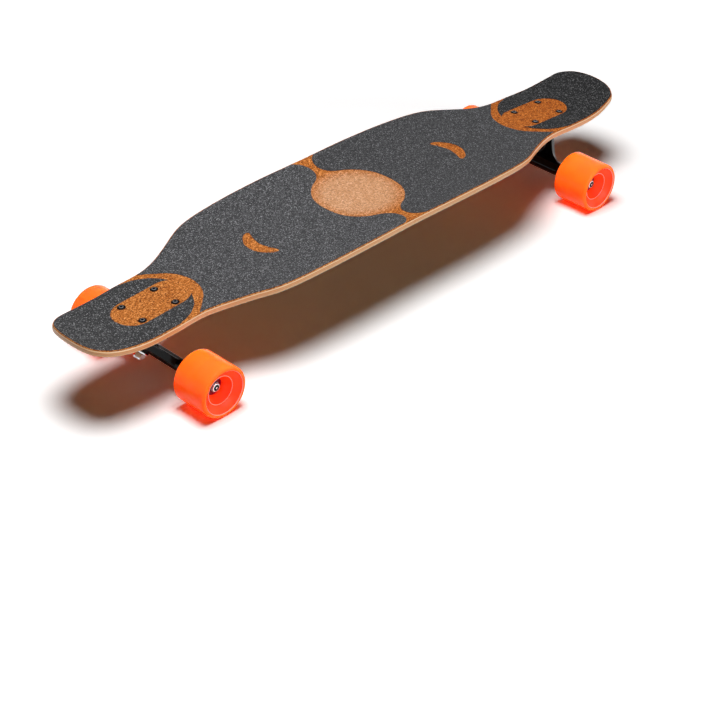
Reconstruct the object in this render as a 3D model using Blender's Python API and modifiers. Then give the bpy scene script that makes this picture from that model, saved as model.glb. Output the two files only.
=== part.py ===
"""Longboard: a cambered bamboo deck with cork and grip on two reverse-kingpin trucks.

Metres, +X towards the nose, +Y to the rider's left, +Z up. The origin is on the ground,
midway between the axles.
"""
import math

import bmesh
import bpy
from mathutils import Matrix, Vector

# Whole board
WHEELBASE = 0.730
MOUNT_SHIFT = 0.0065
WHEEL_RADIUS = 0.036
GAP = 0.0003

# Deck: heights are those of the cork's upper face
DECK_LENGTH = 1.001
MOUNT_HEIGHT = 0.1086
MOUNT_SLOPE = 0.055
FLAT_START = 0.325
FLAT_END = 0.401
NOSE_KICK = 2.16
TAIL_KICK = 1.72
CONCAVE_RISE = 0.0092
CONCAVE_HALF_WIDTH = 0.112
CONCAVE_FADE_START = 0.26
CORE_THICKNESS = 0.0092
CORK_THICKNESS = 0.0010
GRIP_THICKNESS = 0.0008
# Half outline: distance along the deck, half width
WAIST_STATIONS = [
    (0.000, 0.1113), (0.083, 0.1121), (0.168, 0.1097), (0.232, 0.1018), (0.281, 0.0808),
    (0.309, 0.0695), (0.336, 0.0636), (0.382, 0.0634),
]
NOSE_STATIONS = [(0.438, 0.0617), (0.462, 0.0585), (0.482, 0.0526), (0.4955, 0.0330)]
TAIL_STATIONS = [(0.438, 0.0608), (0.474, 0.0536), (0.492, 0.0405), (0.4988, 0.0235)]
# Lines of the grid that the deck's surface is bent on
GRID_ALONG = [0.0, 0.090, 0.165, 0.230, 0.270, 0.298, FLAT_START, FLAT_END, 0.435, 0.468, 0.510]
GRID_ACROSS = [0.050, 0.085, 0.120]
# Cutters that pass through the whole deck run between these heights
THROUGH_DECK = (0.05, 0.2)

# Grip sheets
RING_EDGE = [
    (0.061, 0.000), (0.059, 0.019), (0.0535, 0.034), (0.044, 0.0465), (0.032, 0.0565),
    (0.020, 0.0625), (0.012, 0.069), (0.007, 0.077), (0.0055, 0.087), (0.008, 0.097),
    (0.014, 0.105), (0.024, 0.111), (0.040, 0.120),
]
SHEET_END_EDGE = [
    (0.298, 0.000), (0.2995, 0.012), (0.304, 0.025), (0.312, 0.0365), (0.322, 0.046),
    (0.331, 0.054), (0.341, 0.062), (0.350, 0.072),
]
CRESCENT_OUTER = [(0.1765, 0.0317), (0.184, 0.0295), (0.191, 0.023), (0.198, 0.012), (0.2003, 0.0)]
CRESCENT_INNER = [(0.1743, 0.0285), (0.1787, 0.017), (0.1817, 0.006), (0.1825, 0.0)]
STADIUM_RADIUS = 0.0287
STADIUM_NEAR = 0.338
STADIUM_FAR = 0.3965
HORN_RADIUS = 0.0605
HORN_CENTRE = 0.376
HORN_TIP = 0.0215
GRIP_INSET = 0.0006

# Trucks: the steering axis rises outboard from the axle to the pivot
STEER_ANGLE = math.radians(50.0)
BOLT_SPACING_ALONG = 0.0538
BOLT_SPACING_ACROSS = 0.0413
HANGER_HALF = 0.0855
# Bar: radius, distance from its end
HANGER_BAR = [(0.0078, 0.0), (0.0082, 0.0045), (0.0093, 0.0055), (0.0102, 0.0390)]
# Half of the yoke: reach up the steering axis, half width
YOKE_OUTLINE = [
    (-0.0085, 0.000), (-0.0085, 0.036), (-0.0060, 0.062), (0.0000, 0.068), (0.0060, 0.062),
    (0.0100, 0.048), (0.0170, 0.0350), (0.0280, 0.0258), (0.0400, 0.0175), (0.0490, 0.0105),
    (0.0512, 0.0060), (0.0512, 0.000),
]
YOKE_WINDOW = [(0.0375, 0.0062), (0.0470, 0.0012), (0.0470, -0.0012), (0.0375, -0.0062)]
YOKE_HALF_THICKNESS = 0.0056
SEAT_RING_RADIUS = 0.0162
SEAT_RING_DEPTH = 0.0080
PIVOT_START = 0.046
PIVOT_END = 0.0575
PIVOT_TIP_RADIUS = 0.0058
AXLE_RADIUS = 0.0039
AXLE_HALF = 0.1178
KINGPIN_REACH = 0.022
KINGPIN_RADIUS = 0.0047
BUSHING_RADIUS = 0.0118
BUSHING_SMALL_RADIUS = 0.0098
BUSHING_RIM = 0.0010
WASHER_RADIUS = 0.0130
WASHER_THICKNESS = 0.0016
WASHER_RIM = 0.0022
SEAT_WEB = 0.004
SEAT_CLEARANCE = 0.0006
SEAT_SIDES = 18
SWING_ROOM = 0.0023
BOARD_SEAT = 0.0195
ROAD_WASHER = 0.0112
# Kingpin: heights of its head's faces, and its end beyond the road washer
KINGPIN_HEAD = (-0.0345, -0.0278)
KINGPIN_HEAD_RADIUS = 0.0088
KINGPIN_END = 0.0106
CUP_RADIUS = 0.0082
CUP_START = 0.0530
CUP_END = 0.0647
FLANGE_THICKNESS = 0.0055
FLANGE_HALF_WIDTH = 0.0275
FLANGE_INBOARD = 0.041
FLANGE_OUTBOARD = 0.047
FLANGE_CORNER = 0.005
BOSS_HALF_WIDTH = 0.0150
BOSS_REACH = 0.0140
WALL_HALF_WIDTH = 0.0205
VALLEY_SIZE = (0.0260, 0.0270, 0.0300)
VALLEY_CENTRE = (0.0170, 0.0, -0.0223)
HOUSING_HALF_WIDTH = 0.0121
HOUSING_REACH = 0.0520
HOUSING_DEPTH = 0.0115
HEAD_ROOM_RADIUS = 0.0098

# Bolts through the deck
BOLT_RADIUS = 0.0023
BOLT_HEAD_RADIUS = 0.0050
BOLT_HEAD_DEPTH = 0.0028
BOLT_LENGTH = 0.027
SPOT_FACE = 0.0003
NUT_ROOM_RADIUS = 0.0062
BOLT_RECESS = 0.0010

# Nuts: across the flats, height of the hexagon, height of the crown
KINGPIN_NUT = (0.0142, 0.0060, 0.0018)
AXLE_NUT = (0.0127, 0.0048, 0.0016)
BOLT_NUT = (0.0080, 0.0034, 0.0012)

# Wheels
WHEEL_WIDTH = 0.058
WHEEL_CENTRE = 0.104
WHEEL_SIDES = 32
SMALL_SIDES = 16
CORE_RADIUS = 0.0170
BEARING_RADIUS = 0.0110
BEARING_WIDTH = 0.0070
BEARING_START = 0.0865
BEARING_END = 0.1100
CORE_MOUTH_RADIUS = 0.0135
CORE_SLOPE = 0.0030
CORE_RIM = 0.0012
CORE_WAIST_RADIUS = 0.0085
SPACER_RADIUS = 0.0060
# Tyre: widths of its lips, and its dish, which steps at a ring and narrows to a throat
FRONT_LIP = 0.0054
BACK_LIP = 0.0065
BACK_DISH_DEPTH = 0.0125
RING_RADIUS = 0.0195
RING_DEPTH = 0.0090
THROAT_RADIUS = 0.0122

PARTS_NAME = "longboard"


# Scene and object helpers

def clear_scene():
    for obj in list(bpy.data.objects):
        bpy.data.objects.remove(obj, do_unlink=True)


def make_collection(name):
    found = bpy.data.collections.get(name) or bpy.data.collections.new(name)
    if name not in bpy.context.scene.collection.children:
        bpy.context.scene.collection.children.link(found)
    return found


def make_material(name, colour, roughness, metallic=0.0):
    material = bpy.data.materials.new(name)
    material.use_nodes = True
    shader = material.node_tree.nodes["Principled BSDF"]
    shader.inputs["Base Color"].default_value = (*colour, 1.0)
    shader.inputs["Roughness"].default_value = roughness
    shader.inputs["Metallic"].default_value = metallic
    return material


def new_object(name, mesh):
    obj = bpy.data.objects.new(name, mesh)
    bpy.data.collections[PARTS_NAME].objects.link(obj)
    return obj


def bake(obj):
    """Turns an object with modifiers, or a curve, into a plain closed mesh."""
    bpy.context.view_layer.update()
    evaluated = obj.evaluated_get(bpy.context.evaluated_depsgraph_get())
    mesh = bpy.data.meshes.new_from_object(evaluated)
    name = obj.name
    bpy.data.objects.remove(obj, do_unlink=True)
    shape = bmesh.new()
    shape.from_mesh(mesh)
    bmesh.ops.remove_doubles(shape, verts=shape.verts, dist=0.00001)
    shape.to_mesh(mesh)
    shape.free()
    return new_object(name, mesh)


def moved(obj, matrix):
    obj.data.transform(matrix)
    return obj


def combine(base, operation, *others):
    """Joins or cuts a baked mesh with other baked meshes, which are used up."""
    for other in others:
        change = base.modifiers.new(operation.lower(), "BOOLEAN")
        change.operation = operation
        change.object = other
        change.solver = "EXACT"
    result = bake(base)
    for other in others:
        bpy.data.objects.remove(other, do_unlink=True)
    return result


def as_part(mesh, name, material, parent=None, matrix=None):
    """Adds one named piece that may share its mesh with its twins."""
    obj = new_object(name, mesh)
    if not mesh.materials:
        mesh.materials.append(material)
    mesh.shade_smooth()
    mesh.set_sharp_from_angle(angle=math.radians(35.0))
    if parent is not None:
        obj.parent = parent
    if matrix is not None:
        obj.matrix_local = matrix
    return obj


def make_empty(name, matrix, parent=None):
    empty = bpy.data.objects.new(name, None)
    empty.empty_display_size = 0.03
    bpy.data.collections[PARTS_NAME].objects.link(empty)
    empty.parent = parent
    empty.matrix_local = matrix
    return empty


# Shape helpers

def smooth_path(points, step, closed=False):
    """Runs a smooth curve through the points, with about one point every step."""
    count = len(points)
    path = [Vector(point) for point in points]

    def tangent(i):
        before = path[(i - 1) % count] if closed or i > 0 else path[i]
        after = path[(i + 1) % count] if closed or i < count - 1 else path[i]
        span = (path[i] - before).length + (after - path[i]).length
        return (after - before) / span

    result = []
    for i in range(count if closed else count - 1):
        start, end = path[i], path[(i + 1) % count]
        length = (end - start).length
        pieces = max(1, round(length / step))
        lead_out = tangent(i) * length
        lead_in = tangent((i + 1) % count) * length
        for k in range(pieces):
            t = k / pieces
            result.append(start * (2 * t**3 - 3 * t**2 + 1) + lead_out * (t**3 - 2 * t**2 + t)
                          + end * (3 * t**2 - 2 * t**3) + lead_in * (t**3 - t**2))
    if not closed:
        result.append(path[-1])
    return [(point.x, point.y) for point in result]


def arc(centre, radius, start, end, pieces):
    """Points on a circle, angles in degrees."""
    angles = [math.radians(start + (end - start) * k / pieces) for k in range(pieces + 1)]
    return [(centre[0] + radius * math.cos(a), centre[1] + radius * math.sin(a)) for a in angles]


def mirrored(points):
    """A half outline with its other half across Y, in order."""
    return points + [(x, -y) for x, y in reversed(points) if abs(y) > 1e-9]


def prism(name, points, low, high):
    """A flat outline in XY, with its thickness from low to high."""
    curve = bpy.data.curves.new(name, "CURVE")
    curve.dimensions = "2D"
    curve.fill_mode = "BOTH"
    curve.extrude = (high - low) / 2
    spline = curve.splines.new("POLY")
    spline.points.add(len(points) - 1)
    for point, (x, y) in zip(spline.points, points):
        point.co = (x, y, 0.0, 1.0)
    spline.use_cyclic_u = True
    solid = bake(new_object(name, curve))
    return moved(solid, Matrix.Translation((0.0, 0.0, (low + high) / 2)))


def side_prism(name, points, half_width):
    """A side outline in XZ, as wide as half_width on each side of the middle."""
    solid = prism(name, points, -half_width, half_width)
    return moved(solid, Matrix.Rotation(math.radians(90.0), 4, "X"))


def cylinder(name, radius, low, high, sides=24, top_radius=None):
    mesh = bpy.data.meshes.new(name)
    shape = bmesh.new()
    bmesh.ops.create_cone(
        shape, cap_ends=True, segments=sides, radius1=radius,
        radius2=radius if top_radius is None else top_radius, depth=high - low,
        matrix=Matrix.Translation((0.0, 0.0, (low + high) / 2)))
    shape.to_mesh(mesh)
    shape.free()
    return new_object(name, mesh)


def box(name, size, centre):
    mesh = bpy.data.meshes.new(name)
    shape = bmesh.new()
    bmesh.ops.create_cube(
        shape, size=1.0, matrix=Matrix.Translation(centre) @ Matrix.Diagonal((*size, 1.0)))
    shape.to_mesh(mesh)
    shape.free()
    return new_object(name, mesh)


def turned(name, profile, sides, closed=True):
    """Turns a profile of (radius, height), which runs down its outer side, about Z."""
    mesh = bpy.data.meshes.new(name)
    shape = bmesh.new()
    verts = [shape.verts.new((radius, 0.0, height)) for radius, height in profile]
    for first, second in zip(verts, verts[1:]):
        shape.edges.new((first, second))
    if closed:
        shape.edges.new((verts[-1], verts[0]))
    shape.to_mesh(mesh)
    shape.free()
    obj = new_object(name, mesh)
    screw = obj.modifiers.new("turn", "SCREW")
    screw.axis = "Z"
    screw.steps = sides
    screw.render_steps = sides
    screw.use_merge_vertices = True
    screw.merge_threshold = 0.00001
    screw.use_normal_calculate = False
    return bake(obj)


def hex_nut(name, size, bore):
    """A hexagonal nut with a turned crown above its flats, standing on z = 0."""
    across_flats, height, crown = size
    body = cylinder(name, across_flats / math.sqrt(3.0), 0.0, height, sides=6)
    collar = cylinder("crown", across_flats * 0.46, height - 0.0005, height + crown, sides=12,
                      top_radius=across_flats * 0.40)
    body = combine(body, "UNION", collar)
    return combine(body, "DIFFERENCE", cylinder("bore", bore, -0.01, height + 0.02, sides=10))


# Deck

def deck_height(x, y):
    """Height of the cork's upper face: camber, flat truck mounts, end kick and concave."""
    away = abs(x)
    flat_top = MOUNT_HEIGHT + MOUNT_SLOPE * (mount_x() - FLAT_START)
    if away < FLAT_START:
        curve = MOUNT_SLOPE / (2 * FLAT_START)
        height = flat_top + curve * (FLAT_START**2 - away**2)
    else:
        height = flat_top - MOUNT_SLOPE * (away - FLAT_START)
    if away > FLAT_END:
        height += (NOSE_KICK if x > 0 else TAIL_KICK) * (away - FLAT_END)**2
    fade = (FLAT_START - away) / (FLAT_START - CONCAVE_FADE_START)
    fade = min(1.0, max(0.0, fade))
    fade = fade * fade * (3 - 2 * fade)
    return height + CONCAVE_RISE * fade * (abs(y) / CONCAVE_HALF_WIDTH)**3


def mount_x():
    return WHEELBASE / 2 + MOUNT_SHIFT


def deck_slab(name, offset, thickness):
    """A curved slab under a surface that lies offset above the cork's upper face."""
    along = sorted({sign * x for x in GRID_ALONG for sign in (-1, 1)})
    across = sorted({sign * y for y in GRID_ACROSS for sign in (-1, 1)})
    mesh = bpy.data.meshes.new(name)
    shape = bmesh.new()
    bmesh.ops.create_grid(
        shape, x_segments=len(along) - 1, y_segments=len(across) - 1, size=1.0)
    for vert in shape.verts:
        x = along[round((vert.co.x + 1) / 2 * (len(along) - 1))]
        y = across[round((vert.co.y + 1) / 2 * (len(across) - 1))]
        vert.co = (x, y, deck_height(x, y) + offset)
    bmesh.ops.triangulate(shape, faces=shape.faces[:], quad_method="FIXED")
    lower = bmesh.ops.extrude_face_region(shape, geom=shape.faces[:])["geom"]
    lower = [item for item in lower if isinstance(item, bmesh.types.BMVert)]
    bmesh.ops.translate(shape, verts=lower, vec=(0.0, 0.0, -thickness))
    bmesh.ops.recalc_face_normals(shape, faces=shape.faces)
    shape.to_mesh(mesh)
    shape.free()
    return new_object(name, mesh)


def deck_outline(inset=0.0, step=0.020):
    """The deck's closed outline, seen from above."""
    tip = DECK_LENGTH / 2
    nose_half = list(reversed(WAIST_STATIONS + NOSE_STATIONS))
    far_side = nose_half + [(-x, y) for x, y in WAIST_STATIONS[1:] + TAIL_STATIONS]
    loop = [(tip, 0.0)] + far_side + [(-tip, 0.0)] + [(x, -y) for x, y in reversed(far_side)]
    shrink = 1 - inset / CONCAVE_HALF_WIDTH
    return [(x * (1 - inset / tip), y * shrink) for x, y in smooth_path(loop, step, closed=True)]


def bolt_places(end=1):
    """Bolt centres of one truck in its own frame, named by their side of the board."""
    places = []
    for along in (1, -1):
        for across in (1, -1):
            name = "outboard" if along > 0 else "inboard"
            name += "_left" if across * end > 0 else "_right"
            places.append((name, along * BOLT_SPACING_ALONG / 2, across * BOLT_SPACING_ACROSS / 2))
    return places


def bolt_holes(frames, profile):
    """Cutters for the eight bolt holes, turned from a profile, in the deck's coordinates."""
    cutters = []
    for frame in frames:
        for _, along, across in bolt_places():
            cutter = turned("bolt_hole", profile, 10, closed=False)
            cutters.append(moved(cutter, frame @ Matrix.Translation((along, across, 0.0))))
    return cutters


def deck_parts(materials, frames):
    """The bamboo core, the cork sheet and the four grip sheets."""
    outline = deck_outline()
    core = deck_slab("deck_core", -CORK_THICKNESS - GAP, CORE_THICKNESS)
    core = combine(core, "INTERSECT", prism("outline", outline, *THROUGH_DECK))
    hole = BOLT_RADIUS + GAP
    face = CORE_THICKNESS + GAP + CORK_THICKNESS
    sunk = face - BOLT_HEAD_DEPTH - 2 * GAP
    core = combine(core, "DIFFERENCE", *bolt_holes(frames, [
        (0.0, face + 0.004), (hole + face + 0.004 - sunk, face + 0.004), (hole, sunk),
        (hole, -0.02), (0.0, -0.02)]))
    dress(core, materials["bamboo"])

    cork = deck_slab("deck_cork_sheet", 0.0, CORK_THICKNESS)
    cork = combine(cork, "INTERSECT", prism("outline", outline, *THROUGH_DECK))
    recess = BOLT_HEAD_RADIUS + BOLT_RECESS
    cork = combine(cork, "DIFFERENCE", *bolt_holes(frames, [
        (0.0, 0.03), (recess, 0.03), (recess, -0.02), (0.0, -0.02)]))
    dress(cork, materials["cork"])

    for end, name in ((1, "front"), (-1, "rear")):
        sheet = grip_slab("grip_" + name + "_sheet")
        edge = prism("sheet", turned_end(sheet_outline(), end), *THROUGH_DECK)
        hole = prism("hole", turned_end(crescent_outline(), end), *THROUGH_DECK)
        sheet = combine(combine(sheet, "INTERSECT", edge), "DIFFERENCE", hole)
        dress(sheet, materials["grip"])
    for end, name in ((1, "nose"), (-1, "tail")):
        piece = grip_slab("grip_" + name + "_piece")
        edge = prism("end", turned_end(end_piece_outline(), end), *THROUGH_DECK)
        piece = combine(piece, "INTERSECT", edge)
        dress(piece, materials["grip"])


def grip_slab(name):
    """Grip over the whole deck, set in a little from its edge."""
    slab = deck_slab(name, GRIP_THICKNESS + GAP, GRIP_THICKNESS)
    edge = prism("outline", deck_outline(GRIP_INSET), *THROUGH_DECK)
    return combine(slab, "INTERSECT", edge)


def turned_end(points, end):
    """The same outline at the other end of the deck, half a turn away."""
    return [(end * x, end * y) for x, y in points]


def sheet_outline():
    """The large grip sheet of one end, wider than the deck at its sides."""
    ring = smooth_path(RING_EDGE, 0.012)
    far_end = smooth_path(SHEET_END_EDGE, 0.012)
    upper = ring + [(0.20, 0.130)] + list(reversed(far_end))
    return mirrored(upper[1:-1] + [upper[-1]]) + [upper[0]]


def crescent_outline():
    outer = smooth_path(CRESCENT_OUTER, 0.006)
    inner = smooth_path(list(reversed(CRESCENT_INNER)), 0.008)
    upper = list(reversed(outer)) + list(reversed(inner))
    lower = [(x, -y) for x, y in reversed(upper)]
    return upper + lower[1:-1]


def end_piece_outline():
    """The grip piece round the truck bolts, open towards the middle of the deck."""
    reach = HORN_CENTRE - math.sqrt(HORN_RADIUS**2 - HORN_TIP**2)
    horn = arc((HORN_CENTRE, 0.0), HORN_RADIUS, 159.0, 97.0, 7)
    near = arc((STADIUM_NEAR, 0.0), STADIUM_RADIUS, 126.0, 90.0, 3)
    far = arc((STADIUM_FAR, 0.0), STADIUM_RADIUS, 90.0, 0.0, 6)
    outer = [(reach, HORN_TIP + GAP)] + horn[1:] + [(0.372, 0.072), (0.520, 0.072)]
    inner = list(reversed(near + far))
    lower_outer = [(x, -y) for x, y in reversed(outer)]
    lower_inner = [(x, -y) for x, y in reversed(inner[1:])]
    return inner + outer + lower_outer + lower_inner


def dress(obj, material):
    """Gives a baked piece that is already placed its finish."""
    obj.data.materials.clear()
    obj.data.materials.append(material)
    obj.data.shade_smooth()
    obj.data.set_sharp_from_angle(angle=math.radians(35.0))
    return obj


# Trucks

def truck_frame(end):
    """Matrix of a truck's mount: origin at the deck's underside, +X outboard, +Z up."""
    underside = MOUNT_HEIGHT - CORK_THICKNESS - GAP - CORE_THICKNESS
    place = Matrix.Translation((end * mount_x(), 0.0, underside))
    turn = Matrix.Rotation(0.0 if end > 0 else math.pi, 4, "Z")
    return place @ turn @ Matrix.Rotation(math.atan(MOUNT_SLOPE), 4, "Y")


def axle_in_truck():
    """The axle's place in the truck's frame."""
    world = Vector((WHEELBASE / 2, 0.0, WHEEL_RADIUS))
    return truck_frame(1).inverted() @ world


def hanger_frame():
    """In the truck's frame: origin where axle and steering axis cross, +Z to the pivot,
    +X to the road side."""
    return Matrix.Translation(axle_in_truck()) @ Matrix.Rotation(
        math.pi / 2 - STEER_ANGLE, 4, "Y")


def kingpin_frame():
    """In the truck's frame: origin on the steering axis, +Z to the road side."""
    return (hanger_frame() @ Matrix.Translation((0.0, 0.0, KINGPIN_REACH))
            @ Matrix.Rotation(math.radians(90.0), 4, "Y"))


def hanger_mesh():
    """The hanger in its own frame, with its axle bore, bushing seats and window."""
    to_axle = Matrix.Rotation(math.radians(-90.0), 4, "X")
    upright = Matrix.Rotation(math.radians(-90.0), 4, "Y")
    across = (Matrix.Translation((0.0, 0.0, KINGPIN_REACH))
              @ Matrix.Rotation(math.radians(90.0), 4, "Y"))
    right = [(radius, HANGER_HALF - inward) for radius, inward in HANGER_BAR]
    left = [(radius, -along) for radius, along in reversed(right)]
    bar = [(0.0, HANGER_HALF)] + right + left + [(0.0, -HANGER_HALF)]
    bar = moved(turned("hanger", bar, 16, closed=False), to_axle)
    outline = mirrored(smooth_path(YOKE_OUTLINE, 0.012))
    yoke = moved(prism("yoke", outline, -YOKE_HALF_THICKNESS, YOKE_HALF_THICKNESS), upright)
    nose = cylinder("pivot_nose", 0.0070, PIVOT_START, PIVOT_END, sides=16, top_radius=0.0056)
    tip = moved(sphere("pivot_tip", PIVOT_TIP_RADIUS, 16, 6),
                Matrix.Translation((0.0, 0.0, PIVOT_END - GAP)))
    ring = moved(cylinder("seat_ring", SEAT_RING_RADIUS, -SEAT_RING_DEPTH, 0.0, SEAT_SIDES),
                 across)
    body = combine(bar, "UNION", yoke, ring, nose, tip)
    seat = BUSHING_RADIUS + SEAT_CLEARANCE
    road_seat = moved(cylinder("road_seat", seat, SEAT_WEB, 0.02, SEAT_SIDES), across)
    board_seat = moved(cylinder("board_seat", seat, -0.02, -SEAT_WEB, SEAT_SIDES), across)
    hole = moved(cylinder("kingpin_hole", KINGPIN_RADIUS + SWING_ROOM, -0.02, 0.02, 12), across)
    window = moved(prism("window", YOKE_WINDOW, -0.02, 0.02), upright)
    bore = moved(cylinder("axle_bore", AXLE_RADIUS + GAP, -0.1, 0.1, sides=12), to_axle)
    return combine(body, "DIFFERENCE", road_seat, board_seat, hole, window, bore).data


def sphere(name, radius, around, down):
    mesh = bpy.data.meshes.new(name)
    shape = bmesh.new()
    bmesh.ops.create_uvsphere(shape, u_segments=around, v_segments=down, radius=radius)
    shape.to_mesh(mesh)
    shape.free()
    return new_object(name, mesh)


def seat_point(reach, depth):
    """A point of the truck's side view: reach along the steering axis from the axle, depth
    from that axis towards the board."""
    point = hanger_frame() @ Vector((-depth, 0.0, reach))
    return (point.x, point.z)


def baseplate_mesh():
    """The baseplate in the truck's frame, under the deck."""
    top = -GAP
    bottom = -GAP - FLANGE_THICKNESS
    root = -GAP - 0.5 * FLANGE_THICKNESS
    end_centre = (FLANGE_OUTBOARD - FLANGE_HALF_WIDTH, 0.0)
    flange_half = arc(end_centre, FLANGE_HALF_WIDTH, 0.0, 90.0, 7) + [
        (FLANGE_CORNER - FLANGE_INBOARD, FLANGE_HALF_WIDTH),
        (-FLANGE_INBOARD, FLANGE_HALF_WIDTH - FLANGE_CORNER)]
    flange = prism("baseplate", mirrored(flange_half), bottom, top)
    boss = side_prism("boss", [
        (-0.0340, root), (-0.0290, -0.0200), (-0.0220, -0.0330),
        seat_point(KINGPIN_REACH - BOSS_REACH, BOARD_SEAT),
        seat_point(KINGPIN_REACH + BOSS_REACH, BOARD_SEAT),
        (0.0120, -0.0130), (0.0220, root)], BOSS_HALF_WIDTH)
    walls = side_prism("walls", [
        (-0.0260, root), (-0.0200, -0.0200), (-0.0110, -0.0280), (-0.0040, -0.0280),
        (0.0060, -0.0185), (0.0240, -0.0130), (0.0380, root)], WALL_HALF_WIDTH)
    walls = combine(walls, "DIFFERENCE", box("valley", VALLEY_SIZE, VALLEY_CENTRE))
    housing = side_prism("housing", [
        (0.0190, root), seat_point(HOUSING_REACH, HOUSING_DEPTH),
        seat_point(HOUSING_REACH, -HOUSING_DEPTH), (0.0455, -0.0225), (0.0465, root)],
        HOUSING_HALF_WIDTH)
    plate = combine(flange, "UNION", walls, boss, housing)

    pin = kingpin_frame()
    head_roof = KINGPIN_HEAD[1] + GAP
    head_room = moved(cylinder("head_room", HEAD_ROOM_RADIUS, -0.0900, head_roof, sides=16), pin)
    pin_hole = moved(cylinder("pin_hole", KINGPIN_RADIUS + GAP, -0.0400, 0.0, sides=16), pin)
    cup_hole = moved(cylinder("cup_hole", CUP_RADIUS + GAP, 0.0400, CUP_END + GAP, sides=16), hanger_frame())
    holes = []
    for _, along, across in bolt_places():
        hole = cylinder("hole", BOLT_RADIUS + GAP, -0.02, 0.01, sides=10)
        holes.append(moved(hole, Matrix.Translation((along, across, 0.0))))
        clear = cylinder("nut_room", NUT_ROOM_RADIUS, -0.0500, bottom + SPOT_FACE, sides=12)
        holes.append(moved(clear, Matrix.Translation((along, across, 0.0))))
    return combine(plate, "DIFFERENCE", head_room, pin_hole, cup_hole, *holes).data


def bushing_mesh(name, low, high, small_end=None):
    """A urethane bushing about the kingpin; the cone's small end is the upper one."""
    end = BUSHING_RADIUS if small_end is None else small_end
    bore = KINGPIN_RADIUS + GAP
    return turned(name, [
        (end - BUSHING_RIM, high), (end, high - BUSHING_RIM),
        (BUSHING_RADIUS, low + BUSHING_RIM * 2), (BUSHING_RADIUS - BUSHING_RIM, low),
        (bore, low), (bore, high)], SMALL_SIDES).data


def cup_washer_mesh(name, low, up):
    """A cup washer on the plane z = low, its rim turned up (+1) or down (-1)."""
    bore = KINGPIN_RADIUS + GAP
    profile = [
        (WASHER_RADIUS, WASHER_RIM), (WASHER_RADIUS, 0.0005), (WASHER_RADIUS - 0.0008, 0.0),
        (bore, 0.0), (bore, WASHER_THICKNESS), (WASHER_RADIUS - 0.0012, WASHER_THICKNESS),
        (WASHER_RADIUS - 0.0009, WASHER_RIM)]
    washer = turned(name, profile, SMALL_SIDES)
    if up < 0:
        moved(washer, Matrix.Rotation(math.pi, 4, "X"))
    return moved(washer, Matrix.Translation((0.0, 0.0, low))).data


def kingpin_mesh():
    """The kingpin, with its round head in the baseplate."""
    head_low, head_high = KINGPIN_HEAD
    top = ROAD_WASHER + KINGPIN_END
    return turned("kingpin", [
        (0.0, top), (KINGPIN_RADIUS - 0.0008, top), (KINGPIN_RADIUS, top - 0.0008),
        (KINGPIN_RADIUS, head_high), (KINGPIN_HEAD_RADIUS - 0.0006, head_high),
        (KINGPIN_HEAD_RADIUS, head_high - 0.0006), (KINGPIN_HEAD_RADIUS, head_low),
        (0.0, head_low)], 16, closed=False).data


def pivot_cup_mesh():
    """The cup that the hanger's pivot turns in, along +Z to its closed end."""
    return turned("pivot_cup", [
        (0.0, CUP_END), (CUP_RADIUS - 0.0012, CUP_END), (CUP_RADIUS, CUP_END - 0.0010),
        (CUP_RADIUS, CUP_START), (CUP_RADIUS - 0.0007, CUP_START - 0.0005),
        (CUP_RADIUS - 0.0007, CUP_START + 0.0030), (CUP_RADIUS - 0.0021, CUP_START + 0.0070),
        (0.0035, CUP_END - 0.0013), (0.0, CUP_END - 0.0013)], SMALL_SIDES, closed=False).data


def axle_mesh():
    return moved(cylinder("axle", AXLE_RADIUS, -AXLE_HALF, AXLE_HALF, sides=16),
                 Matrix.Rotation(math.radians(-90.0), 4, "X")).data


def bolt_mesh():
    """A countersunk deck bolt, its head's face at z = 0 and its shank below."""
    return turned("bolt", [
        (0.0, 0.0003), (BOLT_HEAD_RADIUS - 0.0006, 0.0003), (BOLT_HEAD_RADIUS, -0.0002),
        (BOLT_RADIUS, -BOLT_HEAD_DEPTH), (BOLT_RADIUS, -BOLT_LENGTH), (0.0, -BOLT_LENGTH)],
        12, closed=False).data


def truck_parts(end_name, end, shared, materials):
    """One truck's pieces on its mount frame; returns the frames its wheels hang on."""
    mount = make_empty("mount_" + end_name, truck_frame(end))
    pin = make_empty("kingpin_axis_" + end_name, kingpin_frame(), mount)
    steer = make_empty("steer_axis_" + end_name, hanger_frame(), mount)
    black, chrome, urethane = materials["black"], materials["chrome"], materials["bushing"]
    as_part(shared["baseplate"], "baseplate_" + end_name, black, mount)
    as_part(shared["pivot_cup"], "pivot_cup_" + end_name, materials["plastic"], steer)
    as_part(shared["kingpin"], "kingpin_" + end_name, chrome, pin)
    as_part(shared["kingpin_nut"], "kingpin_nut_" + end_name, chrome, pin,
            Matrix.Translation((0.0, 0.0, ROAD_WASHER + WASHER_THICKNESS + 2 * GAP)))
    as_part(shared["board_bushing"], "bushing_board_side_" + end_name, urethane, pin)
    as_part(shared["road_bushing"], "bushing_road_side_" + end_name, urethane, pin)
    as_part(shared["board_washer"], "washer_board_side_" + end_name, chrome, pin)
    as_part(shared["road_washer"], "washer_road_side_" + end_name, chrome, pin)
    as_part(shared["hanger"], "hanger_" + end_name, black, steer)
    as_part(shared["axle"], "axle_" + end_name, materials["steel"], steer)
    face = CORE_THICKNESS + GAP + CORK_THICKNESS
    for place, along, across in bolt_places(end):
        as_part(shared["bolt"], "bolt_" + end_name + "_" + place, materials["bolt"], mount,
                Matrix.Translation((along, across, face)))
        nut_turn = Matrix.Rotation(math.pi, 4, "X")
        nut_low = -2 * GAP - FLANGE_THICKNESS + SPOT_FACE
        as_part(shared["bolt_nut"], "bolt_nut_" + end_name + "_" + place, materials["bolt"],
                mount, Matrix.Translation((along, across, nut_low)) @ nut_turn)
    return steer


# Wheels

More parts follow.
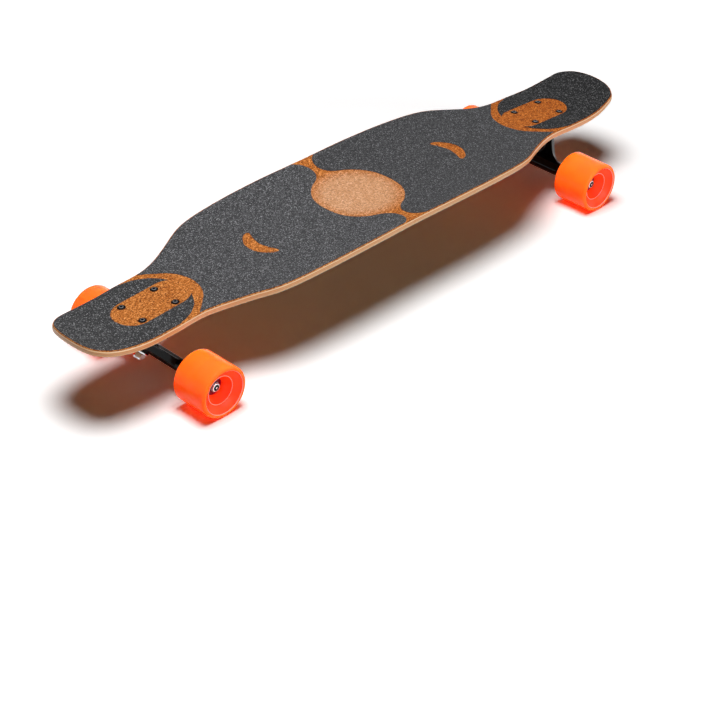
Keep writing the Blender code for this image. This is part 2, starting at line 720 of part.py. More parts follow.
def tyre_mesh():
    """The urethane tyre, +Z to its outer face, faceted with a flat at the bottom."""
    half = WHEEL_WIDTH / 2
    outer = WHEEL_RADIUS / math.cos(math.pi / WHEEL_SIDES)
    bore = CORE_RADIUS + GAP
    core_end = BEARING_END - WHEEL_CENTRE + CORE_RIM
    return turned("tyre", [
        (outer - 0.0045, half), (outer - 0.0013, half - 0.0013), (outer, half - 0.0045),
        (outer, 0.0036 - half), (outer - 0.0032, -half), (outer - BACK_LIP, -half),
        (bore, BACK_DISH_DEPTH - half), (bore, core_end - CORE_RIM - CORE_SLOPE + GAP),
        (CORE_MOUTH_RADIUS + GAP, core_end + GAP), (THROAT_RADIUS, core_end + 2 * GAP),
        (RING_RADIUS, half - RING_DEPTH), (outer - FRONT_LIP, half)], WHEEL_SIDES).data


def core_mesh():
    """The wheel's core: a hub with a bearing seat in each end."""
    low, high = BEARING_START - WHEEL_CENTRE, BEARING_END - WHEEL_CENTRE
    seat = BEARING_RADIUS + GAP
    land = BEARING_WIDTH + GAP
    return turned("core", [
        (CORE_MOUTH_RADIUS, high + CORE_RIM), (CORE_RADIUS, high - CORE_SLOPE),
        (CORE_RADIUS, low + CORE_SLOPE), (CORE_MOUTH_RADIUS, low - CORE_RIM),
        (seat, low - CORE_RIM),
        (seat, low + land), (CORE_WAIST_RADIUS, low + land),
        (CORE_WAIST_RADIUS, high - land), (seat, high - land),
        (seat, high + CORE_RIM)], SMALL_SIDES).data


def bearing_mesh():
    """Both ball bearings with the spacer between them."""
    low, high = BEARING_START - WHEEL_CENTRE, BEARING_END - WHEEL_CENTRE
    bore = AXLE_RADIUS + GAP
    edge = 0.0005
    return turned("bearings", [
        (BEARING_RADIUS - edge, high), (BEARING_RADIUS, high - edge),
        (BEARING_RADIUS, high - BEARING_WIDTH), (SPACER_RADIUS, high - BEARING_WIDTH),
        (SPACER_RADIUS, low + BEARING_WIDTH), (BEARING_RADIUS, low + BEARING_WIDTH),
        (BEARING_RADIUS, low + edge), (BEARING_RADIUS - edge, low), (bore, low), (bore, high)],
        SMALL_SIDES).data


def wheel_parts(name, side, steer, shared, materials):
    """One wheel about the axle; side is +1 on the truck's left, -1 on its right."""
    turn = Matrix.Rotation(math.radians(-90.0 * side), 4, "X")
    level = Matrix.Rotation(wheel_level_angle(side), 4, "Z")
    spin = make_empty("spin_axis_" + name, Matrix.Translation(
        (0.0, side * WHEEL_CENTRE, 0.0)) @ turn @ level, steer)
    as_part(shared["tyre"], "tyre_" + name, materials["tyre"], spin)
    as_part(shared["core"], "wheel_core_" + name, materials["core"], spin)
    as_part(shared["bearings"], "bearings_" + name, materials["steel"], spin)
    nut_place = Matrix.Translation((0.0, side * (BEARING_END + 3 * GAP), 0.0)) @ turn
    as_part(shared["axle_nut"], "axle_nut_" + name, materials["steel"], steer, nut_place)


def wheel_level_angle(side):
    """Turns a tyre so that one of its flats lies on the ground."""
    tilt = (truck_frame(1) @ hanger_frame()).to_3x3()
    down = tilt.transposed() @ Vector((0.0, 0.0, -1.0))
    around = math.atan2(-down.z * side, down.x)
    step = 2 * math.pi / WHEEL_SIDES
    return around % step + step / 2


def build():
    clear_scene()
    make_collection(PARTS_NAME)
    materials = {
        "bamboo": make_material("bamboo", (0.62, 0.36, 0.14), 0.45),
        "cork": make_material("cork", (0.60, 0.20, 0.03), 0.85),
        "grip": make_material("grip", (0.055, 0.055, 0.058), 0.95),
        "black": make_material("black_enamel", (0.008, 0.008, 0.009), 0.2),
        "chrome": make_material("chrome", (0.75, 0.75, 0.76), 0.1, 1.0),
        "steel": make_material("steel", (0.55, 0.55, 0.56), 0.25, 1.0),
        "bolt": make_material("black_oxide", (0.015, 0.015, 0.016), 0.35, 0.6),
        "bushing": make_material("black_urethane", (0.010, 0.010, 0.011), 0.3),
        "plastic": make_material("black_plastic", (0.012, 0.012, 0.012), 0.4),
        "tyre": make_material("orange_urethane", (0.95, 0.10, 0.01), 0.3),
        "core": make_material("core_plastic", (0.35, 0.02, 0.03), 0.4),
    }
    frames = [truck_frame(1), truck_frame(-1)]
    deck_parts(materials, frames)
    sources = {
        "baseplate": baseplate_mesh(),
        "hanger": hanger_mesh(),
        "pivot_cup": pivot_cup_mesh(),
        "kingpin": kingpin_mesh(),
        "kingpin_nut": hex_nut("kingpin_nut", KINGPIN_NUT, KINGPIN_RADIUS + GAP).data,
        "board_bushing": bushing_mesh(
            "board_bushing", WASHER_THICKNESS + 2 * GAP - BOARD_SEAT, -SEAT_WEB - GAP),
        "road_bushing": bushing_mesh(
            "road_bushing", SEAT_WEB + GAP, ROAD_WASHER - GAP, BUSHING_SMALL_RADIUS),
        "board_washer": cup_washer_mesh("board_washer", GAP - BOARD_SEAT, 1),
        "road_washer": cup_washer_mesh("road_washer", ROAD_WASHER + WASHER_THICKNESS, -1),
        "axle": axle_mesh(),
        "bolt": bolt_mesh(),
        "bolt_nut": hex_nut("bolt_nut", BOLT_NUT, BOLT_RADIUS + GAP).data,
        "tyre": tyre_mesh(),
        "core": core_mesh(),
        "bearings": bearing_mesh(),
        "axle_nut": hex_nut("axle_nut", AXLE_NUT, AXLE_RADIUS + GAP).data,
    }
    for source in [obj for obj in bpy.data.objects if obj.data in sources.values()]:
        bpy.data.objects.remove(source, do_unlink=True)
    for end_name, end in (("nose", 1), ("tail", -1)):
        steer = truck_parts(end_name, end, sources, materials)
        for side_name, side in (("left", 1), ("right", -1)):
            wheel_parts(end_name + "_" + side_name, side * end, steer, sources, materials)
    bpy.context.view_layer.update()


build()
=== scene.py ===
"""Longboard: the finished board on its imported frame.

Metres throughout, +X towards the nose, +Y to the rider's left, +Z up, with the origin on
the ground midway between the axles.
"""
import logging
import math
from collections.abc import Callable, Sequence
from dataclasses import dataclass
from enum import Enum
from typing import Any

import bmesh
import bpy
from mathutils import Matrix, Vector


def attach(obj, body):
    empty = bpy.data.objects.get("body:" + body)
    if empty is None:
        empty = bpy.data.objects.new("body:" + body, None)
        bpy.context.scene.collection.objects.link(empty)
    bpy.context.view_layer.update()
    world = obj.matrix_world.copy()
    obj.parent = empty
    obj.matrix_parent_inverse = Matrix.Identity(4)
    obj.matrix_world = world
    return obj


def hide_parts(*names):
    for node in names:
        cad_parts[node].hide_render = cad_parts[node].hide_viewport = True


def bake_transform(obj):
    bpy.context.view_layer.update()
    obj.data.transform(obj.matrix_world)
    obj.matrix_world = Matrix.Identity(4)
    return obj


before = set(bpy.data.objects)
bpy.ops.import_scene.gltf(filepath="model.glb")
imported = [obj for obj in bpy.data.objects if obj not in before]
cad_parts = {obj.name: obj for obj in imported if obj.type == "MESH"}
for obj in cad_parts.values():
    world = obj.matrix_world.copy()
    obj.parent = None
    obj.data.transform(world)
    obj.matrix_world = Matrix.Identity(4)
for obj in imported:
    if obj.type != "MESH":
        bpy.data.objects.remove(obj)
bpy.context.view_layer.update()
LOG = logging.getLogger("longboard")

Point = tuple[float, float]
Finishes = dict[str, bpy.types.Material]
MM = 0.001
# Points that lie nearer to each other than this become one.
WELD = 0.000001


class Place(Enum):
    """A place on the board, named as in the frame's nodes and bodies."""

    @property
    def label(self) -> str:
        """The place's word in the names of nodes and bodies."""
        return self.name.lower()


class End(Place):
    """An end of the board; its value is the sign of X there."""

    NOSE = 1
    TAIL = -1


class Side(Place):
    """A side of the board; its value is the sign of Y there."""

    LEFT = 1
    RIGHT = -1


class Merge(Enum):
    """What one solid does to another; its value is the Boolean modifier's word."""

    JOIN = "UNION"
    CUT = "DIFFERENCE"
    COMMON = "INTERSECT"


# Nodes and colours


def linear(code: str) -> tuple[float, float, float, float]:
    """Turn an sRGB hex colour to linear light.

    Args:
        code: The colour as six hex digits after a hash.

    Returns:
        Red, green, blue and a full alpha, as a shader wants them.
    """
    parts = [int(code[i:i + 2], 16) / 255 for i in (1, 3, 5)]
    red, green, blue = (
        p / 12.92 if p <= 0.04045 else ((p + 0.055) / 1.055)**2.4 for p in parts)
    return (red, green, blue, 1.0)


def add_node(tree: bpy.types.NodeTree, kind: str, inputs: dict[Any, Any] | None = None,
             stops: Sequence[tuple[float, str]] = (), **settings: Any) -> bpy.types.Node:
    """Add a node with its settings and links.

    Args:
        tree: The node tree.
        kind: The node's type name.
        inputs: Socket name or index to a value, or to another node's output to link.
        stops: Places and hex colours of a colour ramp.
        settings: The node's own properties.

    Returns:
        The new node.
    """
    node = tree.nodes.new(kind)
    for key, value in settings.items():
        setattr(node, key, value)
    for key, value in (inputs or {}).items():
        if isinstance(value, bpy.types.NodeSocket):
            tree.links.new(value, node.inputs[key])
        else:
            node.inputs[key].default_value = value
    # A new ramp has two stops already.
    for i, (place, code) in enumerate(stops):
        element = node.color_ramp.elements[i] if i < 2 else node.color_ramp.elements.new(place)
        element.position = place
        element.color = linear(code)
    return node


# Meshes


def new_object(name: str, data: bpy.types.ID) -> bpy.types.Object:
    """Link a new object into the scene.

    Args:
        name: The object's name.
        data: Its mesh, curve, lamp or camera.

    Returns:
        The object, at the origin.
    """
    obj = bpy.data.objects.new(name, data)
    bpy.context.scene.collection.objects.link(obj)
    return obj


def shaped(name: str, shape: bmesh.types.BMesh) -> bpy.types.Object:
    """Make an object of a shape.

    Args:
        name: The new object's name.
        shape: The shape, which is used up.

    Returns:
        The object.
    """
    mesh = bpy.data.meshes.new(name)
    shape.to_mesh(mesh)
    shape.free()
    return new_object(name, mesh)


def bake(obj: bpy.types.Object) -> bpy.types.Object:
    """Turn an object with modifiers, or a curve, into a plain mesh under the same name.

    Args:
        obj: The object, which is used up.

    Returns:
        The object that takes its place.
    """
    bpy.context.view_layer.update()
    evaluated = obj.evaluated_get(bpy.context.evaluated_depsgraph_get())
    mesh = bpy.data.meshes.new_from_object(evaluated)
    name = obj.name
    bpy.data.objects.remove(obj, do_unlink=True)
    shape = bmesh.new()
    shape.from_mesh(mesh)
    bmesh.ops.remove_doubles(shape, verts=shape.verts, dist=WELD)
    shape.to_mesh(mesh)
    shape.free()
    mesh.name = name
    return new_object(name, mesh)


def moved(obj: bpy.types.Object, matrix: Matrix) -> bpy.types.Object:
    """Move a mesh itself, so that its object stays at the origin."""
    obj.data.transform(matrix)
    return obj


def quarter(axis: str, turns: int = 1) -> Matrix:
    """Return a rotation by so many quarter turns about X, Y or Z."""
    return Matrix.Rotation(math.radians(90.0 * turns), 4, axis)


def combine(base: bpy.types.Object, merge: Merge,
            *others: bpy.types.Object) -> bpy.types.Object:
    """Join, cut or intersect a solid with others, which are used up.

    Args:
        base: The solid to work on.
        merge: What the others do to it.
        others: The solids to combine it with, one after another.

    Returns:
        The result, under the base's name.
    """
    for other in others:
        change = base.modifiers.new(merge.name, "BOOLEAN")
        change.operation = merge.value
        change.object = other
        change.solver = "EXACT"
    result = bake(base)
    for other in others:
        bpy.data.objects.remove(other, do_unlink=True)
    return result


def turned(name: str, profile: Sequence[Point], segments: int,
           closed: bool = True) -> bpy.types.Object:
    """Turn a profile about Z.

    Args:
        name: The new object's name.
        profile: (radius, height) points that run down the outer side.
        segments: How many steps make the round.
        closed: Whether the last point joins the first, as on a ring.

    Returns:
        A closed mesh.
    """
    shape = bmesh.new()
    verts = [shape.verts.new((radius, 0.0, height)) for radius, height in profile]
    for first, second in zip(verts, verts[1:]):
        shape.edges.new((first, second))
    if closed:
        shape.edges.new((verts[-1], verts[0]))
    obj = shaped(name, shape)
    screw = obj.modifiers.new("turn", "SCREW")
    screw.axis = "Z"
    screw.steps = screw.render_steps = segments
    screw.use_merge_vertices = True
    screw.merge_threshold = WELD
    screw.use_normal_calculate = False
    return bake(obj)


def plug(name: str, radius: float, low: float, high: float,
         segments: int) -> bpy.types.Object:
    """Turn a plain round plug about Z, to cut or to join.

    Args:
        name: The new object's name.
        radius: Its radius.
        low: Height of its lower end.
        high: Height of its upper end.
        segments: How many steps make the round.

    Returns:
        A closed mesh.
    """
    return turned(name, [(0.0, high), (radius, high), (radius, low), (0.0, low)], segments,
                  closed=False)


def prism(name: str, outline: Sequence[Point], low: float, high: float) -> bpy.types.Object:
    """Give a flat outline in XY a thickness.

    Args:
        name: The new object's name.
        outline: The closed outline's points.
        low: Height of the lower face.
        high: Height of the upper face.

    Returns:
        A closed mesh.
    """
    curve = bpy.data.curves.new(name, "CURVE")
    curve.dimensions = "2D"
    curve.fill_mode = "BOTH"
    curve.extrude = (high - low) / 2
    spline = curve.splines.new("POLY")
    spline.points.add(len(outline) - 1)
    for point, (x, y) in zip(spline.points, outline):
        point.co = (x, y, 0.0, 1.0)
    spline.use_cyclic_u = True
    solid = bake(new_object(name, curve))
    return moved(solid, Matrix.Translation((0.0, 0.0, (low + high) / 2)))


def side_prism(name: str, outline: Sequence[Point], half_width: float) -> bpy.types.Object:
    """Give a side outline in XZ the same width to each side of the middle."""
    return moved(prism(name, outline, -half_width, half_width), quarter("X"))


def smooth_path(points: Sequence[Point], step: float, closed: bool = False) -> list[Point]:
    """Run a smooth curve through points.

    Args:
        points: The points that it passes.
        step: About how far apart the new points lie.
        closed: Whether the curve comes round to its start.

    Returns:
        The curve's points.
    """
    count = len(points)
    path = [Vector(point) for point in points]

    def tangent(i: int) -> Vector:
        """Work out the curve's direction at a point.

        Args:
            i: The point's number.

        Returns:
            The direction, to be scaled by the length of the chord that it is used for.
        """
        before = path[(i - 1) % count] if closed or i > 0 else path[i]
        after = path[(i + 1) % count] if closed or i < count - 1 else path[i]
        return (after - before) / ((path[i] - before).length + (after - path[i]).length)

    result = []
    for i in range(count if closed else count - 1):
        start, end = path[i], path[(i + 1) % count]
        length = (end - start).length
        pieces = max(1, round(length / step))
        lead_out, lead_in = tangent(i) * length, tangent((i + 1) % count) * length
        # A cubic from point to point that keeps the tangent at both.
        for k in range(pieces):
            t = k / pieces
            result.append(start * (2 * t**3 - 3 * t**2 + 1) + lead_out * (t**3 - 2 * t**2 + t)
                          + end * (3 * t**2 - 2 * t**3) + lead_in * (t**3 - t**2))
    if not closed:
        result.append(path[-1])
    return [(point.x, point.y) for point in result]


def arc(centre: Point, radius: float, start: float, end: float, pieces: int) -> list[Point]:
    """Return points on a circle between two angles in degrees."""
    angles = [math.radians(start + (end - start) * k / pieces) for k in range(pieces + 1)]
    return [(centre[0] + radius * math.cos(a), centre[1] + radius * math.sin(a))
            for a in angles]


def mirrored(points: Sequence[Point]) -> list[Point]:
    """Return a half outline followed by its other half across Y."""
    return list(points) + [(x, -y) for x, y in reversed(points) if abs(y) > 1e-9]


def softened(obj: bpy.types.Object, voxel: float, passes: int) -> bpy.types.Object:
    """Give a joined solid the rounded edges and fillets of a casting.

    Args:
        obj: A closed mesh, which is used up.
        voxel: Size of the new faces in metres.
        passes: How often the new surface is smoothed.

    Returns:
        The cast form.
    """
    remesh = obj.modifiers.new("cast", "REMESH")
    remesh.mode = "VOXEL"
    remesh.voxel_size = voxel
    smooth = obj.modifiers.new("fillet", "SMOOTH")
    smooth.factor = 0.5
    smooth.iterations = passes
    return bake(obj)


def indexed(obj: bpy.types.Object,
            choose: Callable[[float, bpy.types.MeshPolygon], int]) -> bpy.types.Object:
    """Give each face the index of its material.

    Args:
        obj: The mesh, still turned about Z.
        choose: Gives the index for the reach of a face's middle from Z, and the face.

    Returns:
        The same object.
    """
    for face in obj.data.polygons:
        face.material_index = choose(math.hypot(face.center.x, face.center.y), face)
    return obj


def dressed(obj: bpy.types.Object, body: str, slot: str, nodes: Sequence[str],
            *materials: bpy.types.Material, crease: float = 35.0) -> bpy.types.Object:
    """Shade a finished piece, dress it and put it on its body.

    Args:
        obj: The piece, in place.
        body: The body that it rides on, or an empty name for none.
        slot: The record's material slot; it is not used.
        nodes: The frame's nodes that it stands for.
        materials: Its materials, in the order of its faces' indices.
        crease: Angle in degrees above which an edge stays sharp.

    Returns:
        The piece.
    """
    indices = [polygon.material_index for polygon in obj.data.polygons]
    obj.data.materials.clear()
    for material in materials:
        obj.data.materials.append(material)
    obj.data.polygons.foreach_set("material_index", indices)
    obj.data.shade_smooth()
    obj.data.set_sharp_from_angle(angle=math.radians(crease))
    if body:
        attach(obj, body)
    if nodes:
        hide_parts(*nodes)
    LOG.info("%s: %d faces on %s", obj.name, len(obj.data.polygons), body or "a blend")
    return obj


# Finishes


@dataclass(frozen=True)
class Finish:
    """A finish: its material's name, its shader's uniform values and what it draws."""

    name: str
    colour: str
    roughness: float
    metallic: float = 0.0

    def uniform(self) -> dict[str, Any]:
        """Return more of the shader's values that are the same all over, by socket."""
        return {}

    def draw(self, tree: bpy.types.NodeTree) -> dict[str, bpy.types.NodeSocket]:
        """Return what varies over the surface, by socket: nothing on a plain finish."""
        return {}

    def build(self) -> bpy.types.Material:
        """Make the material.

        Returns:
            The material, with its values set and its pattern linked.
        """
        material = bpy.data.materials.new(self.name)
        material.use_nodes = True
        tree = material.node_tree
        shader = tree.nodes["Principled BSDF"]
        values = {"Base Color": linear(self.colour), "Roughness": self.roughness,
                  "Metallic": self.metallic} | self.uniform()
        for key, value in values.items():
            shader.inputs[key].default_value = value
        for key, output in self.draw(tree).items():
            tree.links.new(output, shader.inputs[key])
        return material


@dataclass(frozen=True)
class GripTape(Finish):
    """Silicon carbide grit on black paper: dark and matt, with pale grains painted in as
    glints.

    Each sheet takes a tone of its own laid over it, painted shade that darkens the front
    sheet and the end pieces, most at the nose.
    """

    # The tone is painted shade over the whole sheet; the two palest grain colours are painted
    # glints.
    tone: str = "#FFFFFF"
    painted_glints: tuple[str, str] = ("#6C6C6F", "#A2A2A5")
    grain: float = 1.0 * MM
    """Real grit is about 0.2 mm; it is drawn coarser so that it shows."""
    sheen: float = 0.3

    def uniform(self) -> dict[str, Any]:
        """Return the sheen of the grains' facets."""
        return {"Specular IOR Level": self.sheen}

    def draw(self, tree: bpy.types.NodeTree) -> dict[str, bpy.types.NodeSocket]:
        """Scatter the grains, each with a tone and a height of its own.

        Args:
            tree: The material's node tree.

        Returns:
            What varies over the surface, by the shader's socket.
        """
        place = add_node(tree, "ShaderNodeTexCoord").outputs["Object"]
        grit = add_node(tree, "ShaderNodeTexVoronoi", {
            "Vector": place, "Scale": 1 / self.grain, "Randomness": 1.0})
        chance = add_node(tree, "ShaderNodeSeparateColor", {"Color": grit.outputs["Color"]})
        # The palest stops are painted glints, and the tone laid over them is painted shade.
        ramp = add_node(tree, "ShaderNodeValToRGB", {"Fac": chance.outputs["Red"]}, stops=[
            (0.00, "#1A1A1C"), (0.40, self.colour), (0.74, "#48484A"), (0.90, self.painted_glints[0]),
            (1.00, self.painted_glints[1])])
        toned = add_node(tree, "ShaderNodeMix", {
            "Factor": 1.0, 6: ramp.outputs["Color"], 7: linear(self.tone)},
            data_type="RGBA", blend_type="MULTIPLY")
        bump = add_node(tree, "ShaderNodeBump", {
            "Height": chance.outputs["Green"], "Strength": 0.5, "Distance": 0.35 * MM})
        return {"Base Color": toned.outputs[2], "Normal": bump.outputs["Normal"]}


@dataclass(frozen=True)
class CorkGranules(Finish):
    """Pressed cork sheet: soft granules of a few millimetres, sealed to a dull sheen.

    The oval in the middle is rubbed bare and looks pale and even, and the nose is darkened by
    painted shade.
    """

    granule: float = 1.4 * MM
    fleck: float = MM / 0.42
    """About 2.4 mm: the clouds that darken and lighten parts of a granule."""
    oval: Point = (0.040, 0.074)
    """How far from the middle the rubbed oval starts to fade, and ends."""
    bloom: tuple[float, float, float, float] = (1.33, 2.15, 5.9, 1.0)
    """How much more of each colour the rubbed oval sends back."""
    mean: str = "#B76E31"
    calm: float = 0.55
    """The granules' mean colour, and how near to it the rubbed ones come."""
    nose_painted_shade: str = "#F2DCB6"
    nose_shade_fade: Point = (-0.1, 0.4)
    # Where along the deck the painted shade of the nose begins, and is full.
    """Where along the deck the darker tone of the nose begins, and is full."""

    def uniform(self) -> dict[str, Any]:
        """Return the sealer's dull sheen."""
        return {"Specular IOR Level": 0.2}

    def draw(self, tree: bpy.types.NodeTree) -> dict[str, bpy.types.NodeSocket]:
        """Press the granules together, rub the oval and paint shade on the nose.

        Args:
            tree: The material's node tree.

        Returns:
            What varies over the surface, by the shader's socket.
        """
        place = add_node(tree, "ShaderNodeTexCoord").outputs["Object"]
        cells = add_node(tree, "ShaderNodeTexVoronoi", {
            "Vector": place, "Scale": 1 / self.granule, "Randomness": 1.0})
        fleck = add_node(tree, "ShaderNodeTexNoise", {
            "Vector": place, "Scale": 1 / self.fleck, "Detail": 3.0, "Roughness": 0.7})
        chance = add_node(tree, "ShaderNodeSeparateColor", {"Color": cells.outputs["Color"]})
        blend = add_node(tree, "ShaderNodeMath", {
            0: chance.outputs["Red"], 1: fleck.outputs["Fac"]}, operation="MULTIPLY")
        ramp = add_node(tree, "ShaderNodeValToRGB", {"Fac": blend.outputs["Value"]}, stops=[
            (0.02, "#6A320C"), (0.16, "#AC5E1E"), (0.36, self.colour), (0.66, "#FFB264")])
        flat = add_node(tree, "ShaderNodeVectorMath", {0: place, 1: (1.0, 1.0, 0.0)},
                        operation="MULTIPLY")
        away = add_node(tree, "ShaderNodeVectorMath", {0: flat.outputs["Vector"]},
                        operation="LENGTH")
        middle = add_node(tree, "ShaderNodeMapRange", {
            "Value": away.outputs["Value"], "From Min": self.oval[0],
            "From Max": self.oval[1], "To Min": 1.0, "To Max": 0.0},
            interpolation_type="SMOOTHSTEP")
        calm = add_node(tree, "ShaderNodeMath", {
            0: middle.outputs["Result"], 1: self.calm}, operation="MULTIPLY")
        even = add_node(tree, "ShaderNodeMix", {
            "Factor": calm.outputs["Value"], 6: ramp.outputs["Color"],
            7: linear(self.mean)}, data_type="RGBA")
        rubbed = add_node(tree, "ShaderNodeMix", {
            "Factor": middle.outputs["Result"], 6: even.outputs[2], 7: self.bloom},
            data_type="RGBA", blend_type="MULTIPLY", clamp_result=True)
        # Painted shade: the cork darkens towards the nose.
        along = add_node(tree, "ShaderNodeMapRange", {
            "Value": add_node(tree, "ShaderNodeSeparateXYZ", {"Vector": place}).outputs["X"],
            "From Min": self.nose_shade_fade[0], "From Max": self.nose_shade_fade[1]})
        tone = add_node(tree, "ShaderNodeMix", {
            "Factor": along.outputs["Result"], 6: rubbed.outputs[2],
            7: linear(self.nose_painted_shade)}, data_type="RGBA", blend_type="MULTIPLY")
        height = add_node(tree, "ShaderNodeMath", {
            0: cells.outputs["Distance"], 1: fleck.outputs["Fac"]}, operation="ADD")
        bump = add_node(tree, "ShaderNodeBump", {
            "Height": height.outputs["Value"], "Strength": 0.3, "Distance": 0.4 * MM})
        return {"Base Color": tone.outputs[2], "Normal": bump.outputs["Normal"]}


@dataclass(frozen=True)
class BambooEdge(Finish):
    """The sanded and lacquered edge of the laminate: light and dark plies in fine lines.

    The piece's UV map gives the way along the edge and the depth below the deck's top.
    """

    uv_map: str = "deck"
    depths: Point = (0.9 * MM, 10.6 * MM)
    """Where the plies begin and end below the deck's top."""
    fibres: tuple[float, float, float] = (60.0, 2600.0, 1.0)
    """Fibres a metre: each is about 17 mm long and 0.4 mm thick."""

    def uniform(self) -> dict[str, Any]:
        """Return the satin lacquer."""
        return {"Coat Weight": 0.25, "Coat Roughness": 0.25}

    def draw(self, tree: bpy.types.NodeTree) -> dict[str, bpy.types.NodeSocket]:
        """Stack the plies and run the fibres along them.

        Args:
            tree: The material's node tree.

        Returns:
            What varies over the surface, by the shader's socket.
        """
        place = add_node(tree, "ShaderNodeUVMap", uv_map=self.uv_map).outputs["UV"]
        split = add_node(tree, "ShaderNodeSeparateXYZ", {"Vector": place})
        depth = add_node(tree, "ShaderNodeMapRange", {
            "Value": split.outputs["Y"], "From Min": self.depths[0],
            "From Max": self.depths[1]})
        plies = add_node(tree, "ShaderNodeValToRGB", {"Fac": depth.outputs["Result"]}, stops=[
            (0.00, "#C0702E"), (0.04, "#FFD8AC"), (0.18, "#FFCD94"), (0.25, "#DB894A"),
            (0.36, "#FFB87E"), (0.50, "#E4985A"), (0.57, "#FFCC92"), (0.76, "#FFD29A"),
            (0.88, "#FFE4B4"), (1.00, "#FFE4B4")])
        stretch = add_node(tree, "ShaderNodeMapping", {
            "Vector": place, "Scale": self.fibres})
        fibre = add_node(tree, "ShaderNodeTexNoise", {
            "Vector": stretch.outputs["Vector"], "Scale": 1.0, "Detail": 4.0})
        streak = add_node(tree, "ShaderNodeMapRange", {
            "Value": fibre.outputs["Fac"], "From Min": 0.3, "From Max": 0.7,
            "To Min": 0.84, "To Max": 1.08})
        shade = add_node(tree, "ShaderNodeMix", {
            "Factor": 1.0, 6: plies.outputs["Color"], 7: streak.outputs["Result"]},
            data_type="RGBA", blend_type="MULTIPLY")
        bump = add_node(tree, "ShaderNodeBump", {
            "Height": fibre.outputs["Fac"], "Strength": 0.12, "Distance": 0.1 * MM})
        return {"Base Color": shade.outputs[2], "Normal": bump.outputs["Normal"]}


